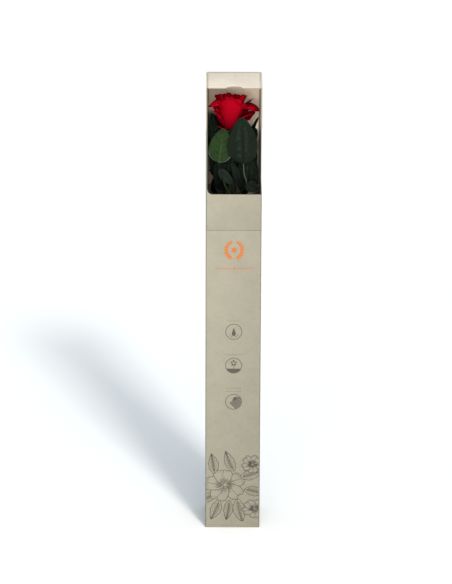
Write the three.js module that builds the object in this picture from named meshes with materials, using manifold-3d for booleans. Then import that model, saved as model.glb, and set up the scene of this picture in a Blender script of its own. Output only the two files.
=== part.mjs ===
// A single long-stemmed rose standing in a tall, square card gift box with an open window at its top.
// Millimetres, +Z up. The box's front faces -Y, and the origin is the centre of its underside.
import * as THREE from 'three';
import { mergeVertices } from 'three/addons/utils/BufferGeometryUtils.js';
import Module from 'manifold-3d';

const wasm = await Module();
wasm.setup();

// ---- driving dimensions: the box ----
const BOX_SIDE = 66;
const BOX_HEIGHT = 557;
const BOARD = 1.6;
const CLEAR = 0.3;
const OUTER_CORNER = 1.4;
const INNER_CORNER = 0.4;
const SEAM_HEIGHT = 381.5;
const WINDOW_SILL = 426;
const WINDOW_CORNER = 6.5;
const WINDOW_SQUARE_CORNER = 1;
const SIDE_WINDOW_TOP = 507;
const SIDE_WINDOW_BACK = 24;
const LINER_BOARD = 1.2;
const LINER_BOTTOM = 262;
const LINER_TOP = 418;
const FLAP_BOARD = 0.9;
const FLAP_WIDTH = 14;
const FLAP_FRONT = -24;
const FLAP_BACK = 29;
const FLAP_TAPER = 5;
const NOTCH_WIDTH = 18.6;
const NOTCH_DEPTH = 6.5;
const HOLDER_BOARD = 1.2;
const HOLDER_TOP = 34;
const HOLDER_HOLE_RADIUS = 3.4;

// ---- driving dimensions: the rose ----
const STEM_RADIUS = 2.8;
const STEM_SIDES = 9;
const STEM_STEPS = 32;
const STEM_ROUTE = [
  [0, 0, BOARD + CLEAR],
  [0, 0, 50],
  [1.6, 0.8, 150],
  [-1.4, 1, 262],
  [0.8, 0.2, 345],
  [0.6, 0, 410],
  [-2.6, 0.4, 455],
  [-8.2, 0, 486],
];
const BLOOM_BASE = new THREE.Vector3(-8.4, 0, 496.4);
const BLOOM_AXIS = new THREE.Vector3(0.17, -0.01, 1).normalize();
const CALYX_HEIGHT = 10;
const PETAL_THICKNESS = 0.8;
const SEPAL_COUNT = 5;
const SEPAL_LENGTH = 13;
const SEPAL_WIDTH = 4.6;
const BLADE_THICKNESS = 0.7;
const PETIOLE_RADIUS = 0.9;
const PETIOLE_SIDES = 6;
const LEAF_TEETH = 6;

// ---- solids: three.js geometry to closed manifolds and back ----
function toSolid(geometry) {
  const bare = geometry.clone();
  bare.deleteAttribute('normal');
  bare.deleteAttribute('uv');
  const merged = mergeVertices(bare, 1e-4);
  const mesh = new wasm.Mesh({
    numProp: 3,
    vertProperties: new Float32Array(merged.attributes.position.array),
    triVerts: new Uint32Array(merged.index.array),
  });
  return new wasm.Manifold(mesh);
}

// The largest body of a joined solid: sealed hollows are filled and loose scraps dropped.
function mainBody(solid) {
  const bodies = solid.decompose();
  return bodies.reduce((best, body) => (body.volume() > best.volume() ? body : best));
}

function toGeometry(solid) {
  const mesh = solid.getMesh();
  const geometry = new THREE.BufferGeometry();
  geometry.setAttribute('position', new THREE.BufferAttribute(mesh.vertProperties, 3));
  geometry.setIndex(new THREE.BufferAttribute(mesh.triVerts, 1));
  geometry.computeVertexNormals();
  return geometry;
}

const joined = (solids) => mainBody(solids.reduce((sum, solid) => sum.add(solid)));

// ---- plain shapes ----
function roundedRectangle(x0, y0, x1, y1, radii) {
  const [lowLeft, lowRight, highRight, highLeft] = radii;
  const shape = new THREE.Shape();
  shape.moveTo(x0 + lowLeft, y0);
  shape.lineTo(x1 - lowRight, y0);
  shape.absarc(x1 - lowRight, y0 + lowRight, lowRight, -Math.PI / 2, 0, false);
  shape.lineTo(x1, y1 - highRight);
  shape.absarc(x1 - highRight, y1 - highRight, highRight, 0, Math.PI / 2, false);
  shape.lineTo(x0 + highLeft, y1);
  shape.absarc(x0 + highLeft, y1 - highLeft, highLeft, Math.PI / 2, Math.PI, false);
  shape.lineTo(x0, y0 + lowLeft);
  shape.absarc(x0 + lowLeft, y0 + lowLeft, lowLeft, Math.PI, Math.PI * 1.5, false);
  return shape;
}

function upright(shape, z0, z1, curveSegments = 4) {
  const geometry = new THREE.ExtrudeGeometry(shape, { depth: z1 - z0, bevelEnabled: false, curveSegments });
  return geometry.translate(0, 0, z0);
}

function squarePrism(side, corner, z0, z1) {
  const half = side / 2;
  return toSolid(upright(roundedRectangle(-half, -half, half, half, Array(4).fill(corner)), z0, z1));
}

function squareTube(side, board, z0, z1, cavityBottom = z0 - 1) {
  const outside = squarePrism(side, OUTER_CORNER, z0, z1);
  return outside.subtract(squarePrism(side - 2 * board, INNER_CORNER, cavityBottom, z1 + 1));
}

function block(x0, y0, z0, x1, y1, z1) {
  const geometry = new THREE.BoxGeometry(x1 - x0, y1 - y0, z1 - z0);
  return toSolid(geometry.translate((x0 + x1) / 2, (y0 + y1) / 2, (z0 + z1) / 2));
}

// A tube with closed ends along a smooth route.
function tube(points, radius, sides, steps) {
  const route = new THREE.CatmullRomCurve3(points);
  const section = new THREE.Shape();
  for (let i = 0; i < sides; i++) {
    const turn = (2 * Math.PI * i) / sides;
    const place = [radius * Math.cos(turn), radius * Math.sin(turn)];
    if (i === 0) section.moveTo(...place);
    else section.lineTo(...place);
  }
  section.closePath();
  return toSolid(new THREE.ExtrudeGeometry(section, { steps, extrudePath: route, bevelEnabled: false }));
}

// A closed thin sheet from a grid of points and the same grid on its other face, split alike.
function sheet(front, back) {
  const rows = front.length;
  const columns = front[0].length;
  const positions = [...front.flat(), ...back.flat()].flatMap((point) => point.toArray());
  const at = (side, row, column) => side * rows * columns + row * columns + column;
  const faces = [];
  const quad = (a, b, c, d) => faces.push(a, b, c, a, c, d);
  for (let row = 0; row < rows - 1; row++) {
    for (let column = 0; column < columns - 1; column++) {
      const [a, b, c, d] = [[0, 0], [0, 1], [1, 1], [1, 0]].map(([i, j]) => at(0, row + i, column + j));
      const far = rows * columns;
      quad(a, b, c, d);
      faces.push(a + far, c + far, b + far, a + far, d + far, c + far);
    }
  }
  for (let row = 0; row < rows - 1; row++) {
    quad(at(0, row + 1, 0), at(1, row + 1, 0), at(1, row, 0), at(0, row, 0));
    quad(at(0, row, columns - 1), at(1, row, columns - 1), at(1, row + 1, columns - 1), at(0, row + 1, columns - 1));
  }
  for (let column = 0; column < columns - 1; column++) {
    quad(at(0, 0, column), at(1, 0, column), at(1, 0, column + 1), at(0, 0, column + 1));
    const last = rows - 1;
    quad(at(0, last, column + 1), at(1, last, column + 1), at(1, last, column), at(0, last, column));
  }
  const geometry = new THREE.BufferGeometry();
  geometry.setAttribute('position', new THREE.BufferAttribute(new Float32Array(positions), 3));
  geometry.setIndex(faces);
  return toSolid(geometry);
}

// ---- the box ----
function baseBox() {
  return squareTube(BOX_SIDE, BOARD, 0, SEAM_HEIGHT - CLEAR / 2, BOARD);
}

function neckLiner() {
  const side = BOX_SIDE - 2 * (BOARD + CLEAR);
  return squareTube(side, LINER_BOARD, LINER_BOTTOM, LINER_TOP);
}

// Cuts through the front wall from side wall to side wall, and on through the right wall's front.
function windowCuts() {
  const inner = BOX_SIDE / 2 - BOARD;
  const reach = BOX_SIDE / 2 + 1;
  const frontRadii = [WINDOW_CORNER, WINDOW_SQUARE_CORNER, 0.1, 0.1];
  const frontShape = roundedRectangle(-inner, WINDOW_SILL, inner, BOX_HEIGHT + 1, frontRadii);
  const front = upright(frontShape, 0, BOARD + 2, 6);
  front.rotateX(Math.PI / 2);
  front.translate(0, -inner + 0.5, 0);
  const sideRadii = [0.1, WINDOW_CORNER, WINDOW_CORNER, 0.1];
  const sideShape = roundedRectangle(-reach, WINDOW_SILL, SIDE_WINDOW_BACK, SIDE_WINDOW_TOP, sideRadii);
  const side = upright(sideShape, 0, BOARD + 2, 6);
  side.rotateX(Math.PI / 2);
  side.rotateZ(Math.PI / 2);
  side.translate(inner - 0.5, 0, 0);
  return toSolid(front).add(toSolid(side));
}

// A narrow flap folded in under the lid from a side wall; side is -1 on the left and 1 on the right.
function dustFlap(side) {
  const inner = BOX_SIDE / 2 - BOARD;
  const top = BOX_HEIGHT - BOARD - CLEAR;
  const root = side * (inner + BOARD / 2);
  const tip = side * (inner - FLAP_WIDTH);
  const shape = new THREE.Shape();
  shape.moveTo(root, FLAP_FRONT);
  shape.lineTo(tip, FLAP_FRONT + FLAP_TAPER);
  shape.lineTo(tip, FLAP_BACK - FLAP_TAPER);
  shape.lineTo(root, FLAP_BACK);
  shape.closePath();
  return toSolid(upright(shape, top - FLAP_BOARD, top));
}

function windowBox() {
  const inner = BOX_SIDE / 2 - BOARD;
  const shell = squareTube(BOX_SIDE, BOARD, SEAM_HEIGHT + CLEAR / 2, BOX_HEIGHT);
  const creaseGap = block(-inner, inner - 1, BOX_HEIGHT - BOARD - CLEAR, inner, BOX_SIDE, BOX_HEIGHT + 1);
  const walls = shell.subtract(windowCuts()).subtract(creaseGap);
  return joined([walls, dustFlap(-1), dustFlap(1)]);
}

function lidPanel() {
  const half = BOX_SIDE / 2;
  const halfWidth = half - BOARD - CLEAR;
  const plate = upright(roundedRectangle(-halfWidth, -half, halfWidth, half, Array(4).fill(0.8)),
    BOX_HEIGHT - BOARD, BOX_HEIGHT);
  const notchRadius = ((NOTCH_WIDTH / 2) ** 2 + NOTCH_DEPTH ** 2) / (2 * NOTCH_DEPTH);
  const notch = new THREE.CylinderGeometry(notchRadius, notchRadius, 4 * BOARD, 36);
  notch.rotateX(Math.PI / 2);
  notch.translate(0, -half + NOTCH_DEPTH - notchRadius, BOX_HEIGHT);
  return toSolid(plate).subtract(toSolid(notch));
}

// A folded card platform, open underneath, with a plain hole that keeps the stem's foot upright.
function stemHolder() {
  const side = BOX_SIDE - 2 * (BOARD + CLEAR);
  const bottom = BOARD + CLEAR;
  const outside = squarePrism(side, OUTER_CORNER, bottom, HOLDER_TOP);
  const hollow = squarePrism(side - 2 * HOLDER_BOARD, INNER_CORNER, bottom - 1, HOLDER_TOP - HOLDER_BOARD);
  const hole = new THREE.CylinderGeometry(HOLDER_HOLE_RADIUS, HOLDER_HOLE_RADIUS, 4 * HOLDER_BOARD, 20);
  hole.rotateX(Math.PI / 2);
  hole.translate(0, 0, HOLDER_TOP);
  return outside.subtract(hollow).subtract(toSolid(hole));
}

// ---- the stem ----
const stemCurve = new THREE.CatmullRomCurve3(STEM_ROUTE.map((point) => new THREE.Vector3(...point)));

function stemAt(height) {
  let low = 0;
  let high = 1;
  for (let i = 0; i < 30; i++) {
    const middle = (low + high) / 2;
    if (stemCurve.getPoint(middle).z < height) low = middle;
    else high = middle;
  }
  return stemCurve.getPoint(low);
}

// Turns a direction up +Z into the bloom's axis and moves it to the bloom's base.
const bloomFrame = new THREE.Matrix4().compose(
  BLOOM_BASE,
  new THREE.Quaternion().setFromUnitVectors(new THREE.Vector3(0, 0, 1), BLOOM_AXIS),
  new THREE.Vector3(1, 1, 1),
);

function calyx() {
  const profile = [[0, -CALYX_HEIGHT], [2.6, -CALYX_HEIGHT], [3, -8], [4.6, -5.5], [5.2, -3], [4.6, -CLEAR], [0, -CLEAR]];
  const cup = new THREE.LatheGeometry(profile.map(([radius, z]) => new THREE.Vector2(radius, z)), 14);
  cup.rotateX(Math.PI / 2);
  return toSolid(cup.applyMatrix4(bloomFrame));
}

// A pointed green blade that arches out and down from the calyx.
function sepal(turn) {
  const rows = 6;
  const out = new THREE.Vector3(Math.cos(turn), Math.sin(turn), 0);
  const across = new THREE.Vector3(-Math.sin(turn), Math.cos(turn), 0);
  const front = [];
  const back = [];
  for (let row = 0; row <= rows; row++) {
    const along = row / rows;
    const width = (SEPAL_WIDTH / 2) * (1 - along ** 2) + 0.2;
    const middle = out.clone().multiplyScalar(3.4 + SEPAL_LENGTH * along);
    middle.z = -2.6 + 3.2 * along - 6.4 * along ** 2;
    const line = [1, 0, -1].map((edge) => {
      const point = middle.clone().addScaledVector(across, edge * width);
      point.z += edge === 0 ? -0.25 : 0.25;
      return point;
    });
    front.push(line);
    back.push(line.map((point) => point.clone().add(new THREE.Vector3(0, 0, -BLADE_THICKNESS))));
  }
  const place = (grid) => grid.map((line) => line.map((point) => point.applyMatrix4(bloomFrame)));
  return sheet(place(front), place(back));
}

function stem() {
  const parts = [tube(stemCurve.getPoints(24), STEM_RADIUS, STEM_SIDES, STEM_STEPS), calyx()];
  const neck = [stemCurve.getPoint(0.985), BLOOM_BASE.clone().addScaledVector(BLOOM_AXIS, 1 - CALYX_HEIGHT)];
  neck.push(BLOOM_BASE.clone().addScaledVector(BLOOM_AXIS, -CALYX_HEIGHT / 2));
  parts.push(tube(neck, STEM_RADIUS - 0.2, STEM_SIDES, 3));
  for (let i = 0; i < SEPAL_COUNT; i++) parts.push(sepal((2 * Math.PI * (i + 0.95)) / SEPAL_COUNT));
  return joined(parts);
}

// ---- the bloom ----
// Each layer's petals follow one side profile: Bezier points of radius and height above the base.
const DEGREE = Math.PI / 180;
const PETAL_LAYERS = [
  { turns: [20, 140, 260], halfAngle: 62, profile: [[3.5, 2.5], [6.5, 12], [9.5, 28], [8.5, 43]], lip: 0, round: 0.1 },
  { turns: [60, 150], halfAngle: 54, profile: [[3.5, 2.5], [7, 11], [12.5, 26], [12.5, 41]], lip: 0.8, round: 0.12 },
  { turns: [240], halfAngle: 54, profile: [[3.5, 2.5], [7, 11], [12.5, 27], [12.5, 43.5]], lip: 0.8, round: 0.12 },
  { turns: [335], halfAngle: 56, profile: [[3.5, 2.5], [7, 11], [12.5, 28], [12.5, 47]], lip: 0.8, round: 0.12 },
  { turns: [10], halfAngle: 46, profile: [[4, 2], [7.5, 10], [14, 28], [16, 44.5]], lip: 1.6, round: 0.18 },
  { turns: [100], halfAngle: 46, profile: [[4, 2], [7.5, 10], [14.5, 26], [17, 39.5]], lip: 1.6, round: 0.18 },
  { turns: [205, 290], halfAngle: 46, profile: [[4, 2], [7.5, 10], [14, 27], [16.5, 43.5]], lip: 1.2, round: 0.16 },
  { turns: [178], halfAngle: 44, profile: [[4, 2], [7, 10], [11.5, 27], [20.5, 38.8]], lip: 1.5, round: 0.18 },
  { turns: [2], halfAngle: 38, profile: [[4, 2], [8, 10], [14, 29], [24.5, 42]], lip: 1.5, round: 0.24 },
  { turns: [262], halfAngle: 50, profile: [[4, 1.5], [9, 8], [18, 23], [20, 43]], lip: 0.6, round: 0.13 },
  { turns: [314], halfAngle: 38, profile: [[4, 1.5], [7.8, 9], [15.5, 24], [20, 39.5]], lip: 0.8, round: 0.18 },
  { turns: [216], halfAngle: 32, profile: [[4, 1.5], [7.8, 9], [14.8, 24], [19.5, 37]], lip: 0.8, round: 0.2 },
  { turns: [184], halfAngle: 42, profile: [[4, 1], [9, 14], [12, 46], [25.6, 24]], lip: 1.5, round: 0.14 },
  { turns: [208], halfAngle: 36, profile: [[4, 1], [9.5, 8], [15, 20], [22.8, 21.5]], lip: 1.5, round: 0.2 },
  { turns: [352], halfAngle: 40, profile: [[4, 1], [11, 14], [17, 49], [33, 30.5]], lip: 1.5, round: 0.14 },
  { turns: [336], halfAngle: 38, profile: [[4, 1], [10.5, 8], [18, 23], [29.5, 27]], lip: 1.5, round: 0.2 },
  { turns: [20], halfAngle: 34, profile: [[4, 1], [12, 3], [20, 15], [31, 24]], lip: 2.5, round: 0.22 },
  { turns: [66, 122], halfAngle: 33, profile: [[4, 1], [12, 4], [17, 18], [27, 28]], lip: 2.5, round: 0.24 },
  { turns: [232], halfAngle: 24, profile: [[4, 1], [9, 0.5], [13, 2], [16.5, 6]], lip: 1, round: 0.25 },
];
const PETAL_COLUMNS = 6;
const PETAL_ROWS = 5;

function bezier(points, t) {
  const s = 1 - t;
  const weights = [s ** 3, 3 * s * s * t, 3 * s * t * t, t ** 3];
  return [0, 1].map((axis) => points.reduce((sum, point, i) => sum + weights[i] * point[axis], 0));
}

// A point of a petal: across runs -1 to 1 between its edges, and along 0 to 1 from root to lip.
function petalPoint(layer, turn, across, along) {
  const lift = along * (1 - layer.round * Math.abs(across) ** 1.8);
  const [radius, height] = bezier(layer.profile, lift);
  const spread = layer.halfAngle * DEGREE * across * (1 - 0.22 * along ** 3);
  const rolled = layer.lip * along ** 3 * (across ** 2 - 0.3);
  const spiral = 0.9 * across * Math.min(1, 3 * along);
  const ripple = 0.9 * along ** 4 * Math.sin(4.4 * across + 0.11 * turn);
  const reach = radius + rolled + spiral + ripple;
  const angle = turn * DEGREE + spread;
  return new THREE.Vector3(reach * Math.cos(angle), reach * Math.sin(angle), height - 0.6 * rolled);
}

function petal(layer, turn) {
  const front = [];
  const back = [];
  const small = 1e-3;
  for (let row = 0; row <= PETAL_ROWS; row++) {
    const along = row / PETAL_ROWS;
    front.push([]);
    back.push([]);
    for (let column = 0; column <= PETAL_COLUMNS; column++) {
      const across = (2 * column) / PETAL_COLUMNS - 1;
      const point = petalPoint(layer, turn, across, along);
      const sideways = petalPoint(layer, turn, across + small, along).sub(point);
      const upwards = petalPoint(layer, turn, across, along + small).sub(point);
      const normal = sideways.cross(upwards).normalize();
      back[row].push(point.clone().addScaledVector(normal, -PETAL_THICKNESS));
      front[row].push(point);
    }
  }
  const place = (grid) => grid.map((line) => line.map((point) => point.applyMatrix4(bloomFrame)));
  return sheet(place(front), place(back));
}

function bloom() {
  const profile = [[0, 0], [4.2, 0], [5.5, 3], [8, 11], [9.5, 21], [8.5, 31], [5, 36], [0, 37]];
  const core = new THREE.LatheGeometry(profile.map(([radius, z]) => new THREE.Vector2(radius, z)), 14);
  core.rotateX(Math.PI / 2);
  const petals = PETAL_LAYERS.flatMap((layer) => layer.turns.map((turn) => petal(layer, turn)));
  return joined([toSolid(core.applyMatrix4(bloomFrame)), ...petals]);
}

// ---- the leaves ----
// Each leaf leaves the stem at a height, bends through its rachis points and carries toothed leaflets.
// A leaflet grows from rachis point number from, to its tip; face is the way its upper side looks.
const LEAVES = {
  leaf_front_right: {
    green: 'dark', height: 414, rachis: [[8, -12, 422], [15, -18.5, 434], [12.2, -22.5, 448], [11.2, -23.5, 461]],
    leaflets: [
      { from: 3, tip: [9.1, -26.5, 518], width: 35, face: [0, -1, 0.1], sag: 0.03, fold: 0.08 },
      { from: 1, tip: [28.1, -16.5, 427], width: 14, face: [0.1, -1, 0.3], sag: 0.05, fold: 0.12 },
    ],
  },
  leaf_front_left: {
    green: 'light', height: 408, rachis: [[-6, -10, 421], [-11, -20.5, 435], [-15.5, -22, 450], [-17.5, -22, 462]],
    leaflets: [
      { from: 3, tip: [-12.5, -20, 502.5], width: 28.5, face: [0, -1, 0.1], sag: 0.03, fold: 0.1 },
    ],
  },
  leaf_left: {
    green: 'dark', height: 436, rachis: [[-12, 2, 450], [-18, 2, 463], [-22, 2, 473]],
    leaflets: [
      { from: 2, tip: [-26, 1, 515], width: 13, face: [0.3, -1, 0.1], sag: 0.03, fold: 0.08 },
      { from: 1, tip: [-26, -13, 495], width: 12, face: [0.3, -1, 0.1], sag: 0.03, fold: 0.1 },
      { from: 1, tip: [-28.8, 15, 478], width: 15, face: [1, -0.6, 0.4], sag: 0.05, fold: 0.1 },
      { from: 0, tip: [-27, -12, 466], width: 12, face: [0.3, -1, 0.2], sag: 0.03, fold: 0.1 },
      { from: 2, tip: [-25.6, 4, 440], width: 10, face: [0, -1, 0], sag: 0.03, fold: 0.1 },
    ],
  },
  leaf_right: {
    green: 'dark', height: 442, rachis: [[9, 2, 456], [13, 4, 470], [14.5, 5, 482]],
    leaflets: [
      { from: 2, tip: [26.6, -3, 497], width: 17.4, face: [0.1, -1, 0.3], sag: 0.04, fold: 0.08 },
      { from: 1, tip: [26.2, -14, 472], width: 17, face: [-0.5, -0.6, 0.8], sag: 0.05, fold: 0.1 },
      { from: 1, tip: [25.6, 15, 482], width: 18, face: [-1, -0.6, 0.5], sag: 0.05, fold: 0.1 },
    ],
  },
  leaf_back_left: {
    green: 'dark', height: 424, rachis: [[-7, 11, 438], [-12, 18, 450], [-15, 21, 464]],
    leaflets: [
      { from: 2, tip: [-18, 27, 508], width: 26, face: [0, -1, 0.1], sag: 0.03, fold: 0.08 },
      { from: 1, tip: [-28.5, 24, 480], width: 19, face: [0.2, -1, 0.3], sag: 0.05, fold: 0.1 },
      { from: 1, tip: [4, 25.5, 472], width: 23, face: [0, -1, 0.4], sag: 0.05, fold: 0.1 },
      { from: 0, tip: [-28.5, 19, 441], width: 20, face: [0, -1, 0.8], sag: 0.05, fold: 0.1 },
      { from: 0, tip: [11, 23, 449], width: 18, face: [0, -1, 0.8], sag: 0.05, fold: 0.1 },
      { from: 0, tip: [-25, 22, 411], width: 19, face: [0, -1, 0.3], sag: 0.05, fold: 0.1 },
    ],
  },
  leaf_back_right: {
    green: 'dark', height: 448, rachis: [[3, 8, 455], [9.2, 16.1, 463], [14, 21, 470], [20, 24, 477]],
    leaflets: [
      { from: 2, tip: [11, 27, 497], width: 22, face: [0, -1, 0.2], sag: 0.03, fold: 0.08 },
      { from: 2, tip: [29, 24, 503.5], width: 5, face: [-0.8, -1, 0.1], sag: 0.03, fold: 0.1 },
      { from: 3, tip: [26, 25, 490], width: 9, face: [0, -1, 0.2], sag: 0.03, fold: 0.1 },
      { from: 1, tip: [-2, 20, 489], width: 13, face: [0, -1, 0.4], sag: 0.05, fold: 0.1 },
      { from: 3, tip: [25.6, 26, 438], width: 10.4, face: [0, -1, 0], sag: 0.03, fold: 0.1 },
      { from: 2, tip: [27, 19, 421], width: 16, face: [0, -1, 0.1], sag: 0.05, fold: 0.1 },
    ],
  },
  leaf_low_right: {
    green: 'dark', height: 402, rachis: [[9, -3.5, 411], [13.5, -7, 417], [17, -10.5, 425], [18.2, -11, 431]],
    leaflets: [
      { from: 3, tip: [18.2, -14, 465], width: 19.4, face: [-0.1, -1, 0.2], sag: 0.04, fold: 0.1 },
      { from: 1, tip: [-3, -14.5, 462], width: 10, face: [0, -1, 0.2], sag: 0.04, fold: 0.1 },
      { from: 1, tip: [8, -11, 460], width: 14, face: [0.1, -1, 0.2], sag: 0.05, fold: 0.1 },
      { from: 2, tip: [26.6, 2, 446], width: 14, face: [-0.5, -1, 0.6], sag: 0.05, fold: 0.1 },
    ],
  },
  leaf_low_left: {
    green: 'dark', height: 398, rachis: [[-7, -3, 410], [-12.5, -6, 424], [-16.5, -11, 440], [-17.5, -13.5, 451]],
    leaflets: [
      { from: 3, tip: [-1, -18, 433.6], width: 11, face: [-0.2, -1, 0.3], sag: 0.05, fold: 0.1 },
      { from: 1, tip: [-18, -11.5, 466], width: 18, face: [0.1, -1, 0.1], sag: 0.04, fold: 0.1 },
      { from: 1, tip: [-6, -7, 462], width: 13, face: [0.1, -1, 0.4], sag: 0.05, fold: 0.1 },
      { from: 0, tip: [-23, 2, 431], width: 12, face: [0.4, -1, 0.8], sag: 0.05, fold: 0.1 },
    ],
  },
};

// Half the width of a leaflet along its length, from 0 at the ends to 1: widest below the middle.
const leafWidth = (along) => Math.sin(Math.PI * along ** 0.78) ** 0.6 * (1.05 - 0.1 * along);

function leaflet(root, spec) {
  const tip = new THREE.Vector3(...spec.tip);
  const run = tip.clone().sub(root);
  const length = run.length();
  const side = run.clone().cross(new THREE.Vector3(...spec.face)).normalize();
  const face = side.clone().cross(run).normalize();
  const rows = 2 * LEAF_TEETH;
  const front = [];
  const back = [];
  for (let row = 0; row <= rows; row++) {
    const along = row / rows;
    const toothed = row % 2 === 0 ? 0.9 : 1;
    const width = 0.4 + (spec.width / 2) * leafWidth(along) * toothed;
    const toothShift = row % 2 === 0 ? 0 : 0.25 / rows;
    const bow = spec.sag * length * 4 * along * (1 - along);
    const line = [-1, 0, 1].map((edge) => {
      const place = along + Math.abs(edge) * toothShift;
      const wave = 0.02 * spec.width * Math.sin(9 * along + 1.5 * edge) * Math.abs(edge);
      const point = root.clone().addScaledVector(run, place);
      point.addScaledVector(side, edge * width);
      return point.addScaledVector(face, bow + spec.fold * width * Math.abs(edge) + wave);
    });
    front.push(line);
    back.push(line.map((point) => point.clone().addScaledVector(face, -BLADE_THICKNESS)));
  }
  return sheet(front, back);
}

function leaf(spec) {
  const rachis = spec.rachis.map((point) => new THREE.Vector3(...point));
  const foot = stemAt(spec.height);
  const out = rachis[0].clone().sub(foot).setZ(0).normalize();
  const start = foot.clone().addScaledVector(out, STEM_RADIUS + PETIOLE_RADIUS + CLEAR + 0.05);
  const parts = [tube([start, ...rachis], PETIOLE_RADIUS, PETIOLE_SIDES, 12)];
  for (const blade of spec.leaflets) parts.push(leaflet(rachis[blade.from], blade));
  return joined(parts);
}

// ---- the object ----
const finishes = {
  printed_card: { color: 0xbdb6a2, roughness: 0.85, metalness: 0 },
  cream_card: { color: 0xe8d9c4, roughness: 0.8, metalness: 0 },
  inner_card: { color: 0xb09a84, roughness: 0.9, metalness: 0 },
  stem: { color: 0x3f5a2a, roughness: 0.6, metalness: 0 },
  petals: { color: 0xad031e, roughness: 0.75, metalness: 0 },
  dark: { color: 0x1b2a1b, roughness: 0.6, metalness: 0 },
  light: { color: 0x35502a, roughness: 0.6, metalness: 0 },
};

const rose_in_gift_box = new THREE.Group();

function add(name, solid, finish) {
  const mesh = new THREE.Mesh(toGeometry(solid), new THREE.MeshStandardMaterial(finishes[finish]));
  mesh.name = name;
  rose_in_gift_box.add(mesh);
}

add('base_box', baseBox(), 'printed_card');
add('window_box', windowBox(), 'printed_card');
add('lid_panel', lidPanel(), 'cream_card');
add('neck_liner', neckLiner(), 'inner_card');
add('stem_holder', stemHolder(), 'inner_card');
add('stem', stem(), 'stem');
add('bloom', bloom(), 'petals');
for (const [name, spec] of Object.entries(LEAVES)) add(name, leaf(spec), spec.green);

export default rose_in_gift_box;
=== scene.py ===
# The looks of a long-stemmed rose in a tall card gift box with an open window, built round its frame.
# Metres, +Z up, the box's front faces -Y. Sizes given here are in millimetres and are scaled by MM.
import math

import bmesh
import bpy
import numpy as np
from mathutils import Matrix, Vector


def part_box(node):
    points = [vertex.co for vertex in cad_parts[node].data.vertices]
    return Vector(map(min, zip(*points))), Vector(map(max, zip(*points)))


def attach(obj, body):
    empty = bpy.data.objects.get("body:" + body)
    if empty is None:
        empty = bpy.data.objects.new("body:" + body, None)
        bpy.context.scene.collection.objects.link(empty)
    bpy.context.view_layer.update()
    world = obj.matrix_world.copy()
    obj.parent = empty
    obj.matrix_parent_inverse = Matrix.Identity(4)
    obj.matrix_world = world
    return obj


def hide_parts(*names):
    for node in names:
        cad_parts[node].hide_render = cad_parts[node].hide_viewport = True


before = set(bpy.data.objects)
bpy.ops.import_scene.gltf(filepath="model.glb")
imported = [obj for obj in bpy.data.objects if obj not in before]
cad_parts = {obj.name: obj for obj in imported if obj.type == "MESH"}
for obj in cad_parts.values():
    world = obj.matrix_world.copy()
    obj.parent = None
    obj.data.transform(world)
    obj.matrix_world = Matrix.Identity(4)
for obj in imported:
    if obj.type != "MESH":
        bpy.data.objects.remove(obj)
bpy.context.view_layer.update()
MM = 0.001

# ---- sizes read from the frame, in millimetres ----
BASE_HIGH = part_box("base_box")[1] / MM
UPPER_LOW, UPPER_HIGH = (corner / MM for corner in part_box("window_box"))
LID_LOW, LID_HIGH = (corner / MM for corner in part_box("lid_panel"))
HALF = BASE_HIGH.x
TOP = UPPER_HIGH.z
BOARD = LID_HIGH.z - LID_LOW.z
CLEAR = UPPER_LOW.z - BASE_HIGH.z
INNER = HALF - BOARD

# ---- the box's cut-outs, as in the frame ----
OUTER_CORNER = 1.4
INNER_CORNER = 0.4
WINDOW_SILL = 426
WINDOW_CORNER = 6.5
WINDOW_SQUARE_CORNER = 1
SIDE_WINDOW_TOP = 507
SIDE_WINDOW_BACK = 24
FLAP_BOARD = 0.9
FLAP_WIDTH = 14
FLAP_FRONT = -24
FLAP_BACK = 29
FLAP_TAPER = 5
NOTCH_WIDTH = 18.6
NOTCH_DEPTH = 6.5
SQUARE = 0.1
CARD_BEVEL = 0.2
LID_BEVEL = 0.3
LID_CORNER = 0.8
LID_CORNER_STEPS = 5
SHARP_ANGLE = math.radians(50)
FLAT_ANGLE = math.radians(28)
INK = 0.05
FACE = HALF - INK

# ---- the rose, as in the frame ----
BLOOM_BASE = Vector((-8.4, 0, 496.4))
BLOOM_AXIS = Vector((0.17, -0.01, 1)).normalized()
CALYX_HEIGHT = 10
SEPAL_COUNT = 5
SEPAL_LENGTH = 13
SEPAL_WIDTH = 4.6
SEPAL_THICK = 0.45
STEM_RADIUS = 2.8
PETIOLE_RADIUS = 0.9
STEM_ROUTE = [
    (0, 0, BOARD + CLEAR),
    (0, 0, 50),
    (1.6, 0.8, 150),
    (-1.4, 1, 262),
    (0.8, 0.2, 345),
    (0.6, 0, 410),
    (-2.6, 0.4, 455),
    (-8.2, 0, 486),
]

# ---- the photograph's camera: a long lens, looking slightly down ----
CAMERA_PLACE = Vector((-0.0207, -4.0, 1.7317))
CAMERA_PITCH = math.radians(19.79)
CAMERA_YAW = math.radians(0.173)
CAMERA_ROLL = math.radians(0.22)
CAMERA_LENS = 218.9
CAMERA_SENSOR = 36


# ---- meshes ----
def make_object(name, points, faces, materials, smooth=True, attributes=None):
    """A mesh object from points in millimetres."""
    mesh = bpy.data.meshes.new(name)
    mesh.from_pydata([tuple(p) for p in np.asarray(points, float) * MM], [], [tuple(f) for f in faces])
    for material in materials:
        mesh.materials.append(material)
    for key, values in (attributes or {}).items():
        layer = mesh.attributes.new(key, "FLOAT", "POINT")
        layer.data.foreach_set("value", np.asarray(values, np.float32))
    mesh.polygons.foreach_set("use_smooth", np.full(len(mesh.polygons), smooth))
    mesh.update()
    piece = bpy.data.objects.new(name, mesh)
    bpy.context.scene.collection.objects.link(piece)
    return piece


def settle(piece, body, slot, *nodes):
    """The piece rides on a body and stands for its nodes, which it hides; slot is not used."""
    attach(piece, body)
    if nodes:
        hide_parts(*nodes)
    return piece


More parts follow.
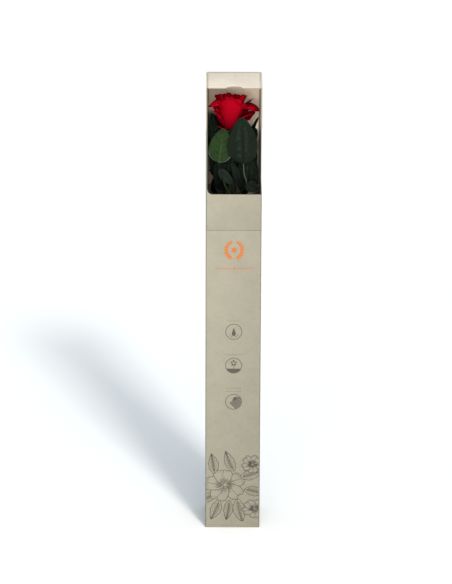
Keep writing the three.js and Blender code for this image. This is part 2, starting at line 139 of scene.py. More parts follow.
class Shells:
    """Closed shells gathered into one mesh, with their point attributes."""

    def __init__(self):
        self.points = []
        self.faces = []
        self.attributes = {}
        self.count = 0

    def add(self, points, faces, **attributes):
        points = np.asarray(points, float).reshape(-1, 3)
        for key in sorted({*self.attributes, *attributes}):
            store = self.attributes.setdefault(key, [np.zeros(self.count)])
            values = np.asarray(attributes.get(key, 0.0), float)
            store.append(np.broadcast_to(values, (len(points),)))
        self.points.append(points)
        self.faces.extend(tuple(i + self.count for i in face) for face in faces)
        self.count += len(points)

    def build(self, name, materials, **options):
        attributes = {key: np.concatenate(values) for key, values in self.attributes.items()}
        points = np.concatenate(self.points)
        return make_object(name, points, self.faces, materials, attributes=attributes, **options)


def sheet_faces(rows, columns):
    """Faces of a closed thin sheet: a front grid, a back grid and the rim that joins them."""
    far = rows * columns
    faces = []
    for a in (r * columns + c for r in range(rows - 1) for c in range(columns - 1)):
        quad = (a, a + 1, a + 1 + columns, a + columns)
        faces += [quad, tuple(i + far for i in reversed(quad))]
    rim = list(range(columns))
    rim += [r * columns + columns - 1 for r in range(1, rows)]
    rim += [(rows - 1) * columns + c for c in range(columns - 2, -1, -1)]
    rim += [r * columns for r in range(rows - 2, 0, -1)]
    return faces + [(b, a, a + far, b + far) for a, b in zip(rim, rim[1:] + rim[:1])]


def unit(vector):
    return vector / np.linalg.norm(vector)


def grid_normals(grid):
    """Unit normals of a grid of points: across the columns crossed with along the rows."""
    normal = np.cross(np.gradient(grid, axis=1), np.gradient(grid, axis=0))
    return normal / np.maximum(np.linalg.norm(normal, axis=2, keepdims=True), 1e-9)


def sheet(grid, thick, **maps):
    """Points, faces and point values of a closed thin sheet whose face is a grid of points."""
    back = grid - grid_normals(grid) * thick
    points = np.concatenate([grid.reshape(-1, 3), back.reshape(-1, 3)])
    values = {key: np.tile(value.ravel(), 2) for key, value in maps.items()}
    return points, sheet_faces(*grid.shape[:2]), values


def catmull(points, steps):
    """Points of a smooth centripetal route through the given ones."""
    p = [np.asarray(q, float) for q in points]
    p = [2 * p[0] - p[1], *p, 2 * p[-1] - p[-2]]

    def blend(first, second, start, stop, t):
        return ((stop - t) * first + (t - start) * second) / (stop - start)

    route = []
    for i in range(1, len(p) - 2):
        k = [0.0]
        for j in range(3):
            k.append(k[-1] + max(np.linalg.norm(p[i + j] - p[i - 1 + j]), 1e-6) ** 0.5)
        for t in np.linspace(k[1], k[2], steps, endpoint=False):
            a = [blend(p[i - 1 + j], p[i + j], k[j], k[j + 1], t) for j in range(3)]
            b = [blend(a[j], a[j + 1], k[j], k[j + 2], t) for j in range(2)]
            route.append(blend(b[0], b[1], k[1], k[2], t))
    route.append(p[-2])
    return np.array(route)


def loft(rings, capped=False):
    """Joins rings of points in turn, the last to the first unless the ends are capped."""
    count = len(rings[0])
    points = [p for ring in rings for p in ring]
    faces = []
    for r in range(len(rings) - capped):
        here, there = r * count, ((r + 1) % len(rings)) * count
        pairs = [(i, (i + 1) % count) for i in range(count)]
        faces += [(here + i, here + j, there + j, there + i) for i, j in pairs]
    if capped:
        faces.append(tuple(reversed(range(count))))
        faces.append(tuple((len(rings) - 1) * count + i for i in range(count)))
    return points, faces


def tube(route, radii, sides):
    """Points and faces of a tube with rounded closed ends along a route."""
    route = np.asarray(route, float)
    radii = np.broadcast_to(np.asarray(radii, float), (len(route),))
    tangents = np.gradient(route, axis=0)
    tangents /= np.linalg.norm(tangents, axis=1, keepdims=True)
    side = unit(np.cross(tangents[0], (0.31, 0.92, 0.13)))
    turns = np.linspace(0, 2 * math.pi, sides, endpoint=False)
    rings = []
    for place, tangent, radius in zip(route, tangents, radii):
        side = unit(side - tangent * (side @ tangent))
        other = np.cross(tangent, side)
        rings.append([place + radius * (math.cos(a) * side + math.sin(a) * other) for a in turns])
    points, faces = loft(rings, capped=True)
    end = len(points)
    points.append(route[0] - tangents[0] * radii[0] * 0.4)
    points.append(route[-1] + tangents[-1] * radii[-1] * 0.4)
    caps, faces = faces[-2:], faces[:-2]
    for tip, cap in enumerate(caps, end):
        faces += [(tip, a, b) for a, b in zip(cap, cap[1:] + cap[:1])]
    return np.array(points), faces


# ---- materials ----
def srgb(*values):
    """A linear colour from display values of 0 to 255."""
    shares = [value / 255 for value in values]
    return (*(c / 12.92 if c <= 0.04045 else ((c + 0.055) / 1.055) ** 2.4 for c in shares), 1)


def scaled(colour, gain):
    return (*(part * gain for part in colour[:3]), 1)


# places and heights, in millimetres, between which the painted shade and light change
DEEP_SHADE = (497, 472)
PALER_LEFT = (-27, -21)
LEFT_SHADOW_SPAN = (-13, -23)
LEFT_SHADOW_TOP = (513, 504)
LEFT_SHADOW_FOOT = (474, 488)
CORE_SHADE = (500, 512)
LEAF_SHADE = (472, 428)
PETAL_LIGHT = (526, 536)
FRONT_PETALS = (-12, -18)
PRESSED_LINE = 1.3
BLACK = (0, 0, 0, 1)
SHADED_CORE = srgb(62, 56, 47)


class Nodes:
    """One material's node tree, with short calls for the nodes used here."""

    def __init__(self, name):
        self.material = bpy.data.materials.new(name)
        self.material.use_nodes = True
        self.tree = self.material.node_tree
        self.tree.nodes.clear()
        self.shader = self.new("BsdfPrincipled")
        self.new("OutputMaterial", self.shader.outputs[0])
        self.place = self.new("TexCoord").outputs["Object"]

    def put(self, socket, value):
        """Links a socket to another node's output, or sets it to a constant."""
        if isinstance(value, bpy.types.NodeSocket):
            self.tree.links.new(value, socket)
        else:
            socket.default_value = value

    def new(self, kind, *values):
        """A node of a kind, its first inputs set or linked in turn."""
        node = self.tree.nodes.new("ShaderNode" + kind)
        for socket, value in zip(node.inputs, values):
            self.put(socket, value)
        return node

    def finish(self, **values):
        """Sets the shader's inputs; a name's capitals and spaces are made from its underscores."""
        for name, value in values.items():
            self.put(self.shader.inputs[name.replace("_", " ").title().replace("Ior", "IOR")], value)
        return self.material

    def math(self, operation, *values):
        node = self.new("Math", *values)
        node.operation = operation
        return node.outputs[0]

    def times(self, first, *others):
        """The product of all the values."""
        for value in others:
            first = self.math("MULTIPLY", first, value)
        return first

    def total(self, *terms):
        """The sum of (weight, value) pairs."""
        result = self.times(terms[0][1], terms[0][0])
        for weight, value in terms[1:]:
            result = self.math("MULTIPLY_ADD", value, weight, result)
        return result

    def spot(self):
        """The point's x, y and z in millimetres."""
        parts = self.new("SeparateXYZ", self.place).outputs
        return [self.math("DIVIDE", value, MM) for value in parts]

    def join(self, *values):
        return self.new("CombineXYZ", *values).outputs[0]

    def step(self, value, low, high, to_low=0.0, to_high=1.0):
        """A smooth change from to_low at low to to_high at high."""
        node = self.new("MapRange", value, low, high, to_low, to_high)
        node.interpolation_type = "SMOOTHSTEP"
        return node.outputs[0]

    def noise(self, size, detail=2.0, rough=0.5, stretch=(1, 1, 1), place=None):
        """Noise in blobs about size millimetres across, drawn out by stretch."""
        mapping = self.new("Mapping", place or self.place)
        mapping.inputs["Scale"].default_value = [1 / s for s in stretch]
        node = self.new("TexNoise", mapping.outputs[0])
        node.inputs["Scale"].default_value = (1 if place else 1 / MM) / size
        node.inputs["Detail"].default_value = detail
        node.inputs["Roughness"].default_value = rough
        return node.outputs[0]

    def net(self, size):
        """Distance to the edges of an irregular net of cells about size millimetres across."""
        node = self.new("TexVoronoi", self.place)
        node.feature = "DISTANCE_TO_EDGE"
        node.inputs["Scale"].default_value = 1 / MM / size
        return node.outputs["Distance"]

    def mix(self, amount, first, second):
        node = self.new("Mix", amount)
        node.data_type = "RGBA"
        self.put(node.inputs[6], first)
        self.put(node.inputs[7], second)
        return node.outputs[2]

    def coat(self, colour, *layers):
        """A colour with (amount, other colour) layers laid over it in turn."""
        for amount, other in layers:
            colour = self.mix(amount, colour, other)
        return colour

    def attributes(self, *names):
        """The mesh's own point values of these names."""
        nodes = [self.new("Attribute") for _ in names]
        for node, name in zip(nodes, names):
            node.attribute_name = name
        return [node.outputs["Fac"] for node in nodes]

    def bump(self, height, depth, strength=1.0):
        """A bump whose height of 1 stands depth millimetres high."""
        node = self.new("Bump", strength, depth * MM)
        self.put(node.inputs["Height"], height)
        return node.outputs[0]


def paper(g, mottle_size, cloud_size, first, second):
    """Uncoated card's clouds, its fibres drawn out in two directions, and the grain of them all."""
    mottle = g.noise(mottle_size, 3)
    cloud = g.noise(cloud_size, 4, 0.6)
    fibres = g.noise(0.5, 3, 0.6, first)
    crossing = g.noise(0.5, 3, 0.6, second)
    grain = g.total((0.3, mottle), (0.25, cloud), (0.25, fibres), (0.2, crossing))
    return cloud, fibres, crossing, g.step(grain, 0.3, 0.7)


def flecked(g, colour, size, amount, fleck, stretch=(1, 1, 1)):
    """Scattered small flecks of another colour."""
    spots = g.step(g.noise(size, 0, stretch=stretch), 0.7, 0.76)
    return g.mix(g.times(spots, amount), colour, fleck)


def inner_colour(g, inside, grain, x, z, corner, reach):
    """The inside of the box, with painted shade low down, at the left and in its corners, and the
    board's cut edges, painted darker low down as shade.
    """
    # painted shade low in the box, lighter at the far left
    depth = g.times(g.step(z, *DEEP_SHADE), g.step(x, *PALER_LEFT, 0.62, 0.95))
    # a painted shadow on the left of the inner walls, between two heights
    painted_left_shadow = g.times(g.step(z, *LEFT_SHADOW_TOP), g.step(x, *LEFT_SHADOW_SPAN), g.step(z, *LEFT_SHADOW_FOOT), 0.85)
    # painted shade in the inner corners
    painted_corner_shade = g.step(corner, INNER - 1.8, INNER - 0.9, 0.0, 0.8)
    colour = g.coat(
        g.mix(grain, scaled(inside, 0.88), scaled(inside, 1.12)),
        (depth, scaled(inside, 0.12)),
        (painted_left_shadow, scaled(inside, 0.1)),
        (painted_corner_shade, scaled(inside, 0.06)),
    )
    # the board's cut edges: painted dark as shade low down, lighter higher up
    core = g.mix(g.step(z, *CORE_SHADE), SHADED_CORE, scaled(inside, 0.8))
    return g.mix(g.step(reach, INNER + 0.02, INNER + 0.12), colour, core)


def card_material(name, outside, inside=None, wear=None):
    """Uncoated card: mottled, fibrous and flecked; its inner faces may be of another colour. Painted
    shade darkens its upright corners, partly as a darker card edge, and, where it has an inside, its
    outer faces towards the foot and the right.
    """
    g = Nodes(name)
    x, y, z = g.spot()
    sides = g.math("ABSOLUTE", x), g.math("ABSOLUTE", y)
    corner, reach = g.math("MINIMUM", *sides), g.math("MAXIMUM", *sides)
    cloud, fibres, crossing, grain = paper(g, 30, 6, (1, 1, 8), (8, 8, 1))
    colour = g.mix(grain, scaled(outside, 0.9), scaled(outside, 1.1))
    # painted shade along the upright corners, partly a darker card edge
    crease = g.step(corner, HALF - 1.7, HALF - 0.5, 0.0, 0.5)
    colour = g.mix(crease, colour, scaled(outside, 0.4))
    if inside:
        inner = inner_colour(g, inside, grain, x, z, corner, reach)
        outer = g.math("MAXIMUM", g.step(reach, HALF - 0.4, HALF - 0.2), g.step(z, 0.9, 0.5))
        # painted shade standing in for light falling off: darker towards the foot and the right
        painted_falloff_shade = g.total((0.15, g.step(z, 440, 0)), (0.11, g.step(x, -HALF, HALF)))
        colour = g.mix(outer, inner, g.mix(painted_falloff_shade, colour, BLACK))
    colour = flecked(g, colour, 0.45, 0.3, scaled(outside, 0.55))
    colour = flecked(g, colour, 0.6, 0.25, scaled(outside, 1.35), (2, 2, 1))
    if wear:
        rubbed = g.step(g.noise(2.4, 4, 0.7), 0.42, 0.66)
        worn = g.times(g.step(corner, HALF - 1.2, HALF - 0.35), rubbed, 0.5)
        colour = g.mix(worn, colour, wear)
    normal = g.bump(g.total((0.4, fibres), (0.4, crossing), (0.5, cloud)), 0.05, 0.6)
    rough = g.step(cloud, 0.2, 0.8, 0.78, 0.92)
    return g.finish(base_color=colour, roughness=rough, normal=normal, specular_ior_level=0.25)


def lid_material(name, cream):
    """Cream card with a faint pressed line down the rear half of its middle, and painted shade at its
    rear edge, along its sides and on its cut edges.
    """
    g = Nodes(name)
    x, y, z = g.spot()
    cloud, fibres, crossing, grain = paper(g, 24, 5, (8, 1, 1), (1, 8, 1))
    colour = g.mix(grain, scaled(cream, 0.92), scaled(cream, 1.08))
    away = g.math("ABSOLUTE", g.math("SUBTRACT", x, PRESSED_LINE))
    line = g.times(g.step(away, 0.9, 0.2), g.step(y, -1, 5))
    # painted shade at the rear edge and a painted shadow of the gaps along the sides
    rear = g.step(y, HALF - 8, HALF - 2.5, 0.0, 0.55)
    side_gap_shadow = g.step(g.math("ABSOLUTE", x), LID_HIGH.x - 2.4, LID_HIGH.x - 0.9, 0.0, 0.25)
    darker = g.math("MAXIMUM", rear, side_gap_shadow)
    colour = g.coat(colour, (g.times(line, 0.16), scaled(cream, 0.5)), (darker, scaled(cream, 0.4)))
    colour = flecked(g, colour, 0.6, 0.3, scaled(cream, 0.6))
    # painted shade on the cut edges below the top face
    colour = g.mix(g.step(z, TOP - 0.02, TOP - 0.25), colour, scaled(cream, 0.45))
    relief = g.total((0.4, fibres), (0.4, crossing), (0.4, cloud), (-3.0, line))
    normal = g.bump(relief, 0.06, 0.6)
    return g.finish(base_color=colour, roughness=0.85, normal=normal, specular_ior_level=0.25)


def ink_material(name, colour, metal=0.0, rough=0.7):
    """Printed ink that lets a little of the card's grain through."""
    g = Nodes(name)
    cloud = g.noise(1.6, 4, 0.65)
    speck = g.step(g.noise(0.35, 2), 0.3, 0.7)
    grain = g.total((0.6, cloud), (0.4, speck))
    shade = g.mix(grain, scaled(colour, 0.82), scaled(colour, 1.2))
    shine = g.step(cloud, 0.3, 0.7, rough - 0.08, rough + 0.08)
    normal = g.bump(speck, 0.02, 0.4)
    return g.finish(base_color=shade, metallic=metal, roughness=shine, normal=normal)


def petal_material(name, deep, middle, lip):
    """Velvety petals with fine lines running up them, darker at the root and along the lip, partly
    their own deeper red and partly painted shade; painted light brightens the upper petals behind the
    front ones, and painted shade darkens the upper part of some.
    """
    g = Nodes(name)
    _, y, z = g.spot()
    along, across, tone, rim, dusk = g.attributes("along", "across", "tone", "rim", "dusk")
    front = g.step(y, *FRONT_PETALS)
    lines = g.noise(1, 3, 0.6, place=g.join(g.times(across, 22), g.times(along, 2.2), tone))
    cloud = g.noise(5, 3, 0.6)
    # darker at the root: partly the petal's own deeper red, partly painted shade deep in the bloom
    colour = g.mix(g.step(along, 0.05, 0.6), deep, middle)
    shade = g.total((0.45, lines), (0.3, cloud), (0.25, tone))
    colour = g.mix(g.step(shade, 0.25, 0.75), scaled(middle, 0.72), colour)
    # painted light on the upper petals behind the front ones, where the lid's shadow falls
    painted_top_light = g.times(g.step(z, *PETAL_LIGHT, 0.0, 0.8), g.math("SUBTRACT", 1.0, front))
    colour = g.mix(painted_top_light, colour, scaled(middle, 1.9))
    # darker lips: partly the petals' own darker edges, partly painted shade where rims curl, less on
    # the front petals; painted shade on the upper part of some petals
    top = g.times(g.step(along, 0.95, 0.99), g.step(cloud, 0.25, 0.6, 0.5, 1.0))
    edge = g.math("MAXIMUM", top, g.step(rim, 0.06, 0.0, 0.0, 0.2))
    edge = g.times(edge, g.step(front, 0.0, 1.0, 0.75, 0.25))
    edge = g.math("MAXIMUM", edge, g.times(dusk, g.step(along, 0.55, 0.9, 0.3, 1.0)))
    relief = g.total((0.8, lines), (0.4, cloud), (0.15, g.noise(0.25, 2, 0.6)))
    return g.finish(
        base_color=g.mix(edge, colour, lip),
        roughness=0.8,
        normal=g.bump(relief, 0.1, 0.5),
        specular_ior_level=0.03,
        sheen_weight=0.012,
        sheen_roughness=0.5,
        sheen_tint=srgb(255, 30, 60),
    )


def leaf_material(name, blade, vein, under, stalk, tip, rim_light, rib_shade=0.0, low_shade=0.0):
    """A leaf blade with side veins and a fine net.

    rim_light pales the foot of its edge where it curls over, partly the paler underside and partly a
    painted highlight;
    rib_shade darkens the midrib and pales its sides, and low_shade paints shade on what stands low in
    the box.
    """
    g = Nodes(name)
    z = g.spot()[2]
    edge, phase, along, back = g.attributes("edge", "phase", "along", "back")
    tone, rim, pale = g.attributes("tone", "rim", "stalk")
    edge = g.math("ABSOLUTE", edge)
    wander = g.math("MULTIPLY_ADD", g.noise(4, 2), 0.16, phase)
    off = g.math("ABSOLUTE", g.math("SUBTRACT", g.math("FRACT", wander), 0.5))
    side_vein = g.times(g.step(off, 0.40, 0.49), g.step(edge, 1.0, 0.55), g.step(along, 0.92, 0.8))
    midrib = g.step(edge, g.step(along, 0.0, 1.0, 0.1, 0.035), 0.012)
    net = g.step(g.net(1.5), 0.1, 0.0)
    cloud = g.noise(7, 4, 0.6)
    fine = g.noise(0.9, 3, 0.6)
    mottled = g.total((0.5, cloud), (0.15, fine), (0.35, tone))
    blotch = g.step(g.noise(6, 4, 0.65), 0.42, 0.62)
    beside = g.times(g.step(edge, 0.08, 0.2), g.step(edge, 0.55, 0.25), blotch, rib_shade)
    # paler foot of the edge where it curls over: partly the underside, partly a painted highlight
    underside_and_rim_highlight = g.times(g.step(rim, 1.3, 0.4), g.step(along, 0.4, 0.2), rim_light)
    # the layer over BLACK paints shade on what stands low in the box
    colour = g.coat(
        g.mix(g.step(mottled, 0.28, 0.72), scaled(blade, 0.5), scaled(blade, 1.6)),
        (beside, under),
        (g.times(net, 0.18), vein),
        (g.times(side_vein, 0.35), vein),
        (g.times(midrib, 0.5), scaled(vein, 1 - rib_shade)),
        (g.step(along, 0.8, 0.94, 0.0, 0.85), scaled(tip, 0.8)),
        (g.step(tone, 0.65, 1.0, 0.0, 0.75), under),
        (g.times(back, 0.7), under),
        (g.step(z, *LEAF_SHADE, 0.0, low_shade), BLACK),
        (underside_and_rim_highlight, under),
        (pale, stalk),
    )
    relief = g.total((-0.9, side_vein), (-1.2, midrib), (-0.25, net), (0.5, cloud), (0.2, fine))
    rough = g.step(cloud, 0.3, 0.7, 0.54, 0.7)
    normal = g.bump(relief, 0.16, 0.7)
    return g.finish(base_color=colour, roughness=rough, normal=normal, specular_ior_level=0.08)


def stem_material(name, green, streak):
    """A green stem with long pale and reddish streaks and small pores."""
    g = Nodes(name)
    streaks = g.noise(0.8, 3, 0.6, (1, 1, 14))
    pores = g.step(g.net(1.3), 0.12, 0.0)
    colour = g.mix(g.step(streaks, 0.35, 0.65), scaled(green, 0.7), scaled(green, 1.25))
    colour = g.mix(g.step(g.noise(8, 3, 0.6), 0.52, 0.72, 0.0, 0.4), colour, streak)
    normal = g.bump(g.total((0.7, streaks), (-0.2, pores)), 0.12, 0.6)
    return g.finish(base_color=colour, roughness=0.5, normal=normal, specular_ior_level=0.2)


GREIGE = srgb(141, 136, 120)
KRAFT = srgb(238, 220, 198)
CREAM = srgb(212, 200, 184)
printed_card = card_material("greige_card", GREIGE, KRAFT, wear=srgb(176, 170, 152))
inner_card = card_material("grey_kraft_card", srgb(104, 98, 84))
cream_card = lid_material("cream_card", CREAM)
grey_ink = ink_material("warm_grey_ink", srgb(66, 61, 52))
line_ink = ink_material("brown_grey_ink", srgb(70, 64, 54))
copper_ink = ink_material("copper_foil", srgb(178, 98, 34), metal=0.3, rough=0.5)
petal_red = petal_material("red_petal", srgb(72, 0, 11), srgb(157, 0, 23), srgb(72, 1, 12))
dark_leaf = leaf_material(
    "dark_leaf",
    blade=srgb(9, 18, 9),
    vein=srgb(20, 27, 18),
    under=srgb(30, 41, 33),
    stalk=srgb(72, 80, 60),
    tip=srgb(4, 30, 17),
    rim_light=0.3,
    rib_shade=0.7,
    low_shade=0.66,
)
light_leaf = leaf_material(
    "light_leaf",
    blade=srgb(22, 38, 14),
    vein=srgb(54, 73, 38),
    under=srgb(92, 110, 104),
    stalk=srgb(14, 21, 11),
    tip=srgb(26, 44, 18),
    rim_light=0.85,
)
green_stem = stem_material("green_stem", srgb(17, 26, 12), srgb(28, 18, 12))


# ---- the card box ----
def square_ring(half, corner, z):
    """Points of a rounded square, anticlockwise seen from above."""
    return [(x, y, z) for x, y in rounded_outline((-half, -half), (half, half), (corner,) * 4, 6)]


def prism(outline, low, high, axis):
    """A closed prism: a 2D outline (anticlockwise about the axis) swept along an axis."""
    order = {"x": (2, 0, 1), "y": (1, 2, 0), "z": (0, 1, 2)}[axis]
    rings = np.array([[(u, v, height) for u, v in outline] for height in (low, high)], float)
    return loft(rings[..., order], capped=True)


def rounded_outline(low, high, radii, steps=10):
    """A rectangle's outline, anticlockwise from its low corner, each corner with its own radius."""
    (x0, y0), (x1, y1) = low, high
    corners = (x0, y0, 1, 1), (x1, y0, -1, 1), (x1, y1, -1, -1), (x0, y1, 1, -1)
    outline = []
    for quarter, ((x, y, sx, sy), radius) in enumerate(zip(corners, radii)):
        for step in range(steps + 1):
            turn = math.radians(180 + 90 * quarter + 90 * step / steps)
            outline.append((x + radius * (sx + math.cos(turn)), y + radius * (sy + math.sin(turn))))
    return outline


def combine(piece, tools):
    """Cuts or joins closed meshes with the piece, then throws the tools away."""
    for operation, tool in tools:
        modifier = piece.modifiers.new(operation, "BOOLEAN")
        modifier.operation = operation
        modifier.solver = "MANIFOLD"
        modifier.object = tool
    graph = bpy.context.evaluated_depsgraph_get()
    mesh = bpy.data.meshes.new_from_object(piece.evaluated_get(graph))
    piece.modifiers.clear()
    piece.data = mesh
    for _, tool in tools:
        bpy.data.objects.remove(tool)


def soften(piece, width, segments=2):
    """Rounds the sharp edges and shades flat faces flat."""
    work = bmesh.new()
    work.from_mesh(piece.data)
    bmesh.ops.remove_doubles(work, verts=work.verts, dist=1e-6)
    bmesh.ops.dissolve_limit(work, angle_limit=math.radians(0.5), verts=work.verts, edges=work.edges)
    bent = [e for e in work.edges if len(e.link_faces) == 2 and e.calc_face_angle(0) > SHARP_ANGLE]
    options = {"segments": segments, "profile": 0.5, "affect": "EDGES", "clamp_overlap": True}
    bmesh.ops.bevel(work, geom=bent, offset=width * MM, **options)
    work.to_mesh(piece.data)
    work.free()
    piece.data.polygons.foreach_set("use_smooth", np.ones(len(piece.data.polygons), bool))
    piece.data.set_sharp_from_angle(angle=FLAT_ANGLE)


def build_base():
    top = BASE_HIGH.z
    rings = [square_ring(FACE, OUTER_CORNER, z) for z in (0, top)]
    rings += [square_ring(INNER, INNER_CORNER, z) for z in (top, BOARD)]
    points, faces = loft(rings, capped=True)
    piece = make_object("base_box_card", points, faces, [printed_card])
    soften(piece, CARD_BEVEL)
    settle(piece, "box", "printed_card", "base_box")


def build_window_box():
    rings = [square_ring(FACE, OUTER_CORNER, z) for z in (UPPER_LOW.z, TOP)]
    rings += [square_ring(INNER, INNER_CORNER, z) for z in (TOP, UPPER_LOW.z)]
    piece = make_object("window_box_card", *loft(rings), [printed_card])
    flap_top = TOP - BOARD - CLEAR
    past = HALF + 1
    radii = (WINDOW_CORNER, WINDOW_SQUARE_CORNER, SQUARE, SQUARE)
    front = rounded_outline((-INNER, WINDOW_SILL), (INNER, TOP + 1), radii)
    front = [(z, x) for x, z in reversed(front)]
    radii = (SQUARE, WINDOW_CORNER, WINDOW_CORNER, SQUARE)
    side = rounded_outline((-past, WINDOW_SILL), (SIDE_WINDOW_BACK, SIDE_WINDOW_TOP), radii)
    crease = [(-INNER, INNER - 1), (INNER, INNER - 1), (INNER, past), (-INNER, past)]
    cuts = [
        (front, -past, -INNER + 0.5, "y"),
        (side, INNER - 0.5, past, "x"),
        (crease, flap_top, TOP + 1, "z"),
    ]
    tools = [("DIFFERENCE", make_object("cut", *prism(*cut), [])) for cut in cuts]
    for sign in (-1, 1):
        root, tip = sign * (INNER + BOARD / 2), sign * (INNER - FLAP_WIDTH)
        taper = (tip, FLAP_FRONT + FLAP_TAPER), (tip, FLAP_BACK - FLAP_TAPER)
        flap = [(root, FLAP_FRONT), *taper, (root, FLAP_BACK)][::-sign]
        solid = prism(flap, flap_top - FLAP_BOARD, flap_top, "z")
        tools.append(("UNION", make_object("flap", *solid, [])))
    combine(piece, tools)
    soften(piece, CARD_BEVEL)
    settle(piece, "box", "printed_card", "window_box")


def build_lid():
    half_width = INNER - CLEAR
    rear, front = HALF - INK, -(HALF - INK)
    radius = ((NOTCH_WIDTH / 2) ** 2 + NOTCH_DEPTH**2) / (2 * NOTCH_DEPTH)
    centre = -HALF + NOTCH_DEPTH - radius
    reach = math.degrees(math.acos((front - centre) / radius))
    corners = (LID_CORNER,) * 4
    outline = rounded_outline((-half_width, front), (half_width, rear), corners, LID_CORNER_STEPS)
    notch = [
        (radius * math.sin(math.radians(a)), centre + radius * math.cos(math.radians(a)))
        for a in np.linspace(-reach, reach, 33)
    ]
    first_corner = LID_CORNER_STEPS + 1
    outline = outline[:first_corner] + notch + outline[first_corner:]
    piece = make_object("lid_card", *prism(outline, LID_LOW.z, LID_HIGH.z, "z"), [cream_card])
    soften(piece, LID_BEVEL, segments=3)
    settle(piece, "lid", "cream_card", "lid_panel")


# ---- the stem ----
STEM_CURVE = catmull(STEM_ROUTE, 24)
CUP_PROFILE = [(2.3, -10), (2.7, -9.4), (3, -8), (4.5, -5.6), (5.1, -3), (4.5, -CLEAR)]
BLOOM_TURN = np.array(Vector((0, 0, 1)).rotation_difference(BLOOM_AXIS).to_matrix())


def to_bloom(points):
    """Moves points drawn up +Z from the bloom's base to its place and lean."""
    return np.asarray(points, float) @ BLOOM_TURN.T + np.array(BLOOM_BASE)


def stem_at(height):
    return np.array([np.interp(height, STEM_CURVE[:, 2], STEM_CURVE[:, axis]) for axis in (0, 1, 2)])


def lathe(profile, sides=40):
    """A closed turned shape with flat ends, from a profile of radius and height."""
    rings = []
    for radius, height in profile:
        turns = np.linspace(0, 2 * math.pi, sides, endpoint=False)
        rings.append([(radius * math.cos(a), radius * math.sin(a), height) for a in turns])
    return loft(rings, capped=True)


def sepal_sheet(turn, draw):
    """A pointed green blade that arches out and down from the calyx, with narrow side lobes."""
    along, edge = np.meshgrid(np.linspace(0, 1, 29), np.linspace(1, -1, 9), indexing="ij")
    lobes = 1 + 0.16 * np.sin(13 * along + draw.uniform(0, 6)) ** 3 * (1 - along)
    width = ((SEPAL_WIDTH / 2 - 0.1) * (1 - along**2) * lobes + 0.12) * edge
    reach = 3.4 + SEPAL_LENGTH * along
    height = -2.6 + 3.2 * along - 6.4 * along**2 + 0.5 * (edge**2 - 0.5)
    height = height + 0.3 * np.sin(9 * along + 2 * edge) * along
    c, s = math.cos(turn), math.sin(turn)
    grid = np.stack([reach * c - width * s, reach * s + width * c, height], axis=2)
    points, faces, _ = sheet(grid, SEPAL_THICK)
    return to_bloom(points), faces


def build_stem():
    draw = np.random.default_rng(31)
    shells = Shells()
    heights = STEM_CURVE[:, 2]
    radii = STEM_RADIUS * (1 - 0.06 * np.sin(heights / 23) ** 2)
    shells.add(*tube(STEM_CURVE, radii, 20))
    neck = [STEM_CURVE[-2], *to_bloom([(0, 0, 1 - CALYX_HEIGHT), (0, 0, -CALYX_HEIGHT / 2)])]
    shells.add(*tube(catmull(neck, 6), STEM_RADIUS - 0.15, 20))
    points, faces = lathe(catmull(CUP_PROFILE, 5))
    shells.add(to_bloom(points), faces)
    for i in range(SEPAL_COUNT):
        shells.add(*sepal_sheet(2 * math.pi * (i + 0.95) / SEPAL_COUNT, draw))
    settle(shells.build("stem_and_calyx", [green_stem]), "box", "stem", "stem")


# ---- the bloom ----
# Each layer: its petals' turns, half angle, Bezier profile of radius and height, lip, rounding and,
# for some, how deep a painted shade darkens the upper part. These are the frame's own petals.
PETAL_LAYERS = [
    ((20, 140, 260), 62, ((3.5, 2.5), (6.5, 12), (9.5, 28), (8.5, 43)), 0, 0.1),
    ((60, 150), 54, ((3.5, 2.5), (7, 11), (12.5, 26), (12.5, 41)), 0.8, 0.12),
    ((240,), 54, ((3.5, 2.5), (7, 11), (12.5, 27), (12.5, 43.5)), 0.8, 0.12),
    ((335,), 56, ((3.5, 2.5), (7, 11), (12.5, 28), (12.5, 47)), 0.8, 0.12),
    ((10,), 46, ((4, 2), (7.5, 10), (14, 28), (16, 44.5)), 1.6, 0.18),
    ((100,), 46, ((4, 2), (7.5, 10), (14.5, 26), (17, 39.5)), 1.6, 0.18),
    ((205, 290), 46, ((4, 2), (7.5, 10), (14, 27), (16.5, 43.5)), 1.2, 0.16),
    ((178,), 44, ((4, 2), (7, 10), (11.5, 27), (20.5, 38.8)), 1.5, 0.18),
    ((2,), 38, ((4, 2), (8, 10), (14, 29), (24.5, 42)), 1.5, 0.24, 0.8),
    ((262,), 50, ((4, 1.5), (9, 8), (18, 23), (20, 43)), 0.6, 0.13),
    ((314,), 38, ((4, 1.5), (7.8, 9), (15.5, 24), (20, 39.5)), 0.8, 0.18),
    ((216,), 32, ((4, 1.5), (7.8, 9), (14.8, 24), (19.5, 37)), 0.8, 0.2),
    ((184,), 42, ((4, 1), (9, 14), (12, 46), (25.6, 24)), 1.5, 0.14),
    ((208,), 36, ((4, 1), (9.5, 8), (15, 20), (22.8, 21.5)), 1.5, 0.2),
    ((352,), 40, ((4, 1), (11, 14), (17.5, 45.5), (33, 29.5)), 1.5, 0.14),
    ((336,), 38, ((4, 1), (10.5, 8), (18, 23), (29.5, 27)), 1.5, 0.2),
    ((20,), 34, ((4, 1), (12, 3), (20, 15), (31, 24)), 2.5, 0.22),
    ((66, 122), 33, ((4, 1), (12, 4), (17, 18), (27, 28)), 2.5, 0.24),
    ((232,), 24, ((4, 1), (9, 0.5), (13, 2), (16.5, 6)), 1, 0.25),
]
# Small petals between the outer ones.
BETWEEN_LAYERS = [
    ((347,), 36, ((4, 1), (11, 9), (18, 31), (27, 31.5)), 1.2, 0.16, 0.95),
    ((194,), 26, ((4, 1), (9, 8), (14, 27), (21.5, 26)), 1.2, 0.2),
    ((203,), 31, ((4, 1), (8, 12), (13.5, 31), (20.2, 42.2)), 1.0, 0.16, 0.85),
]
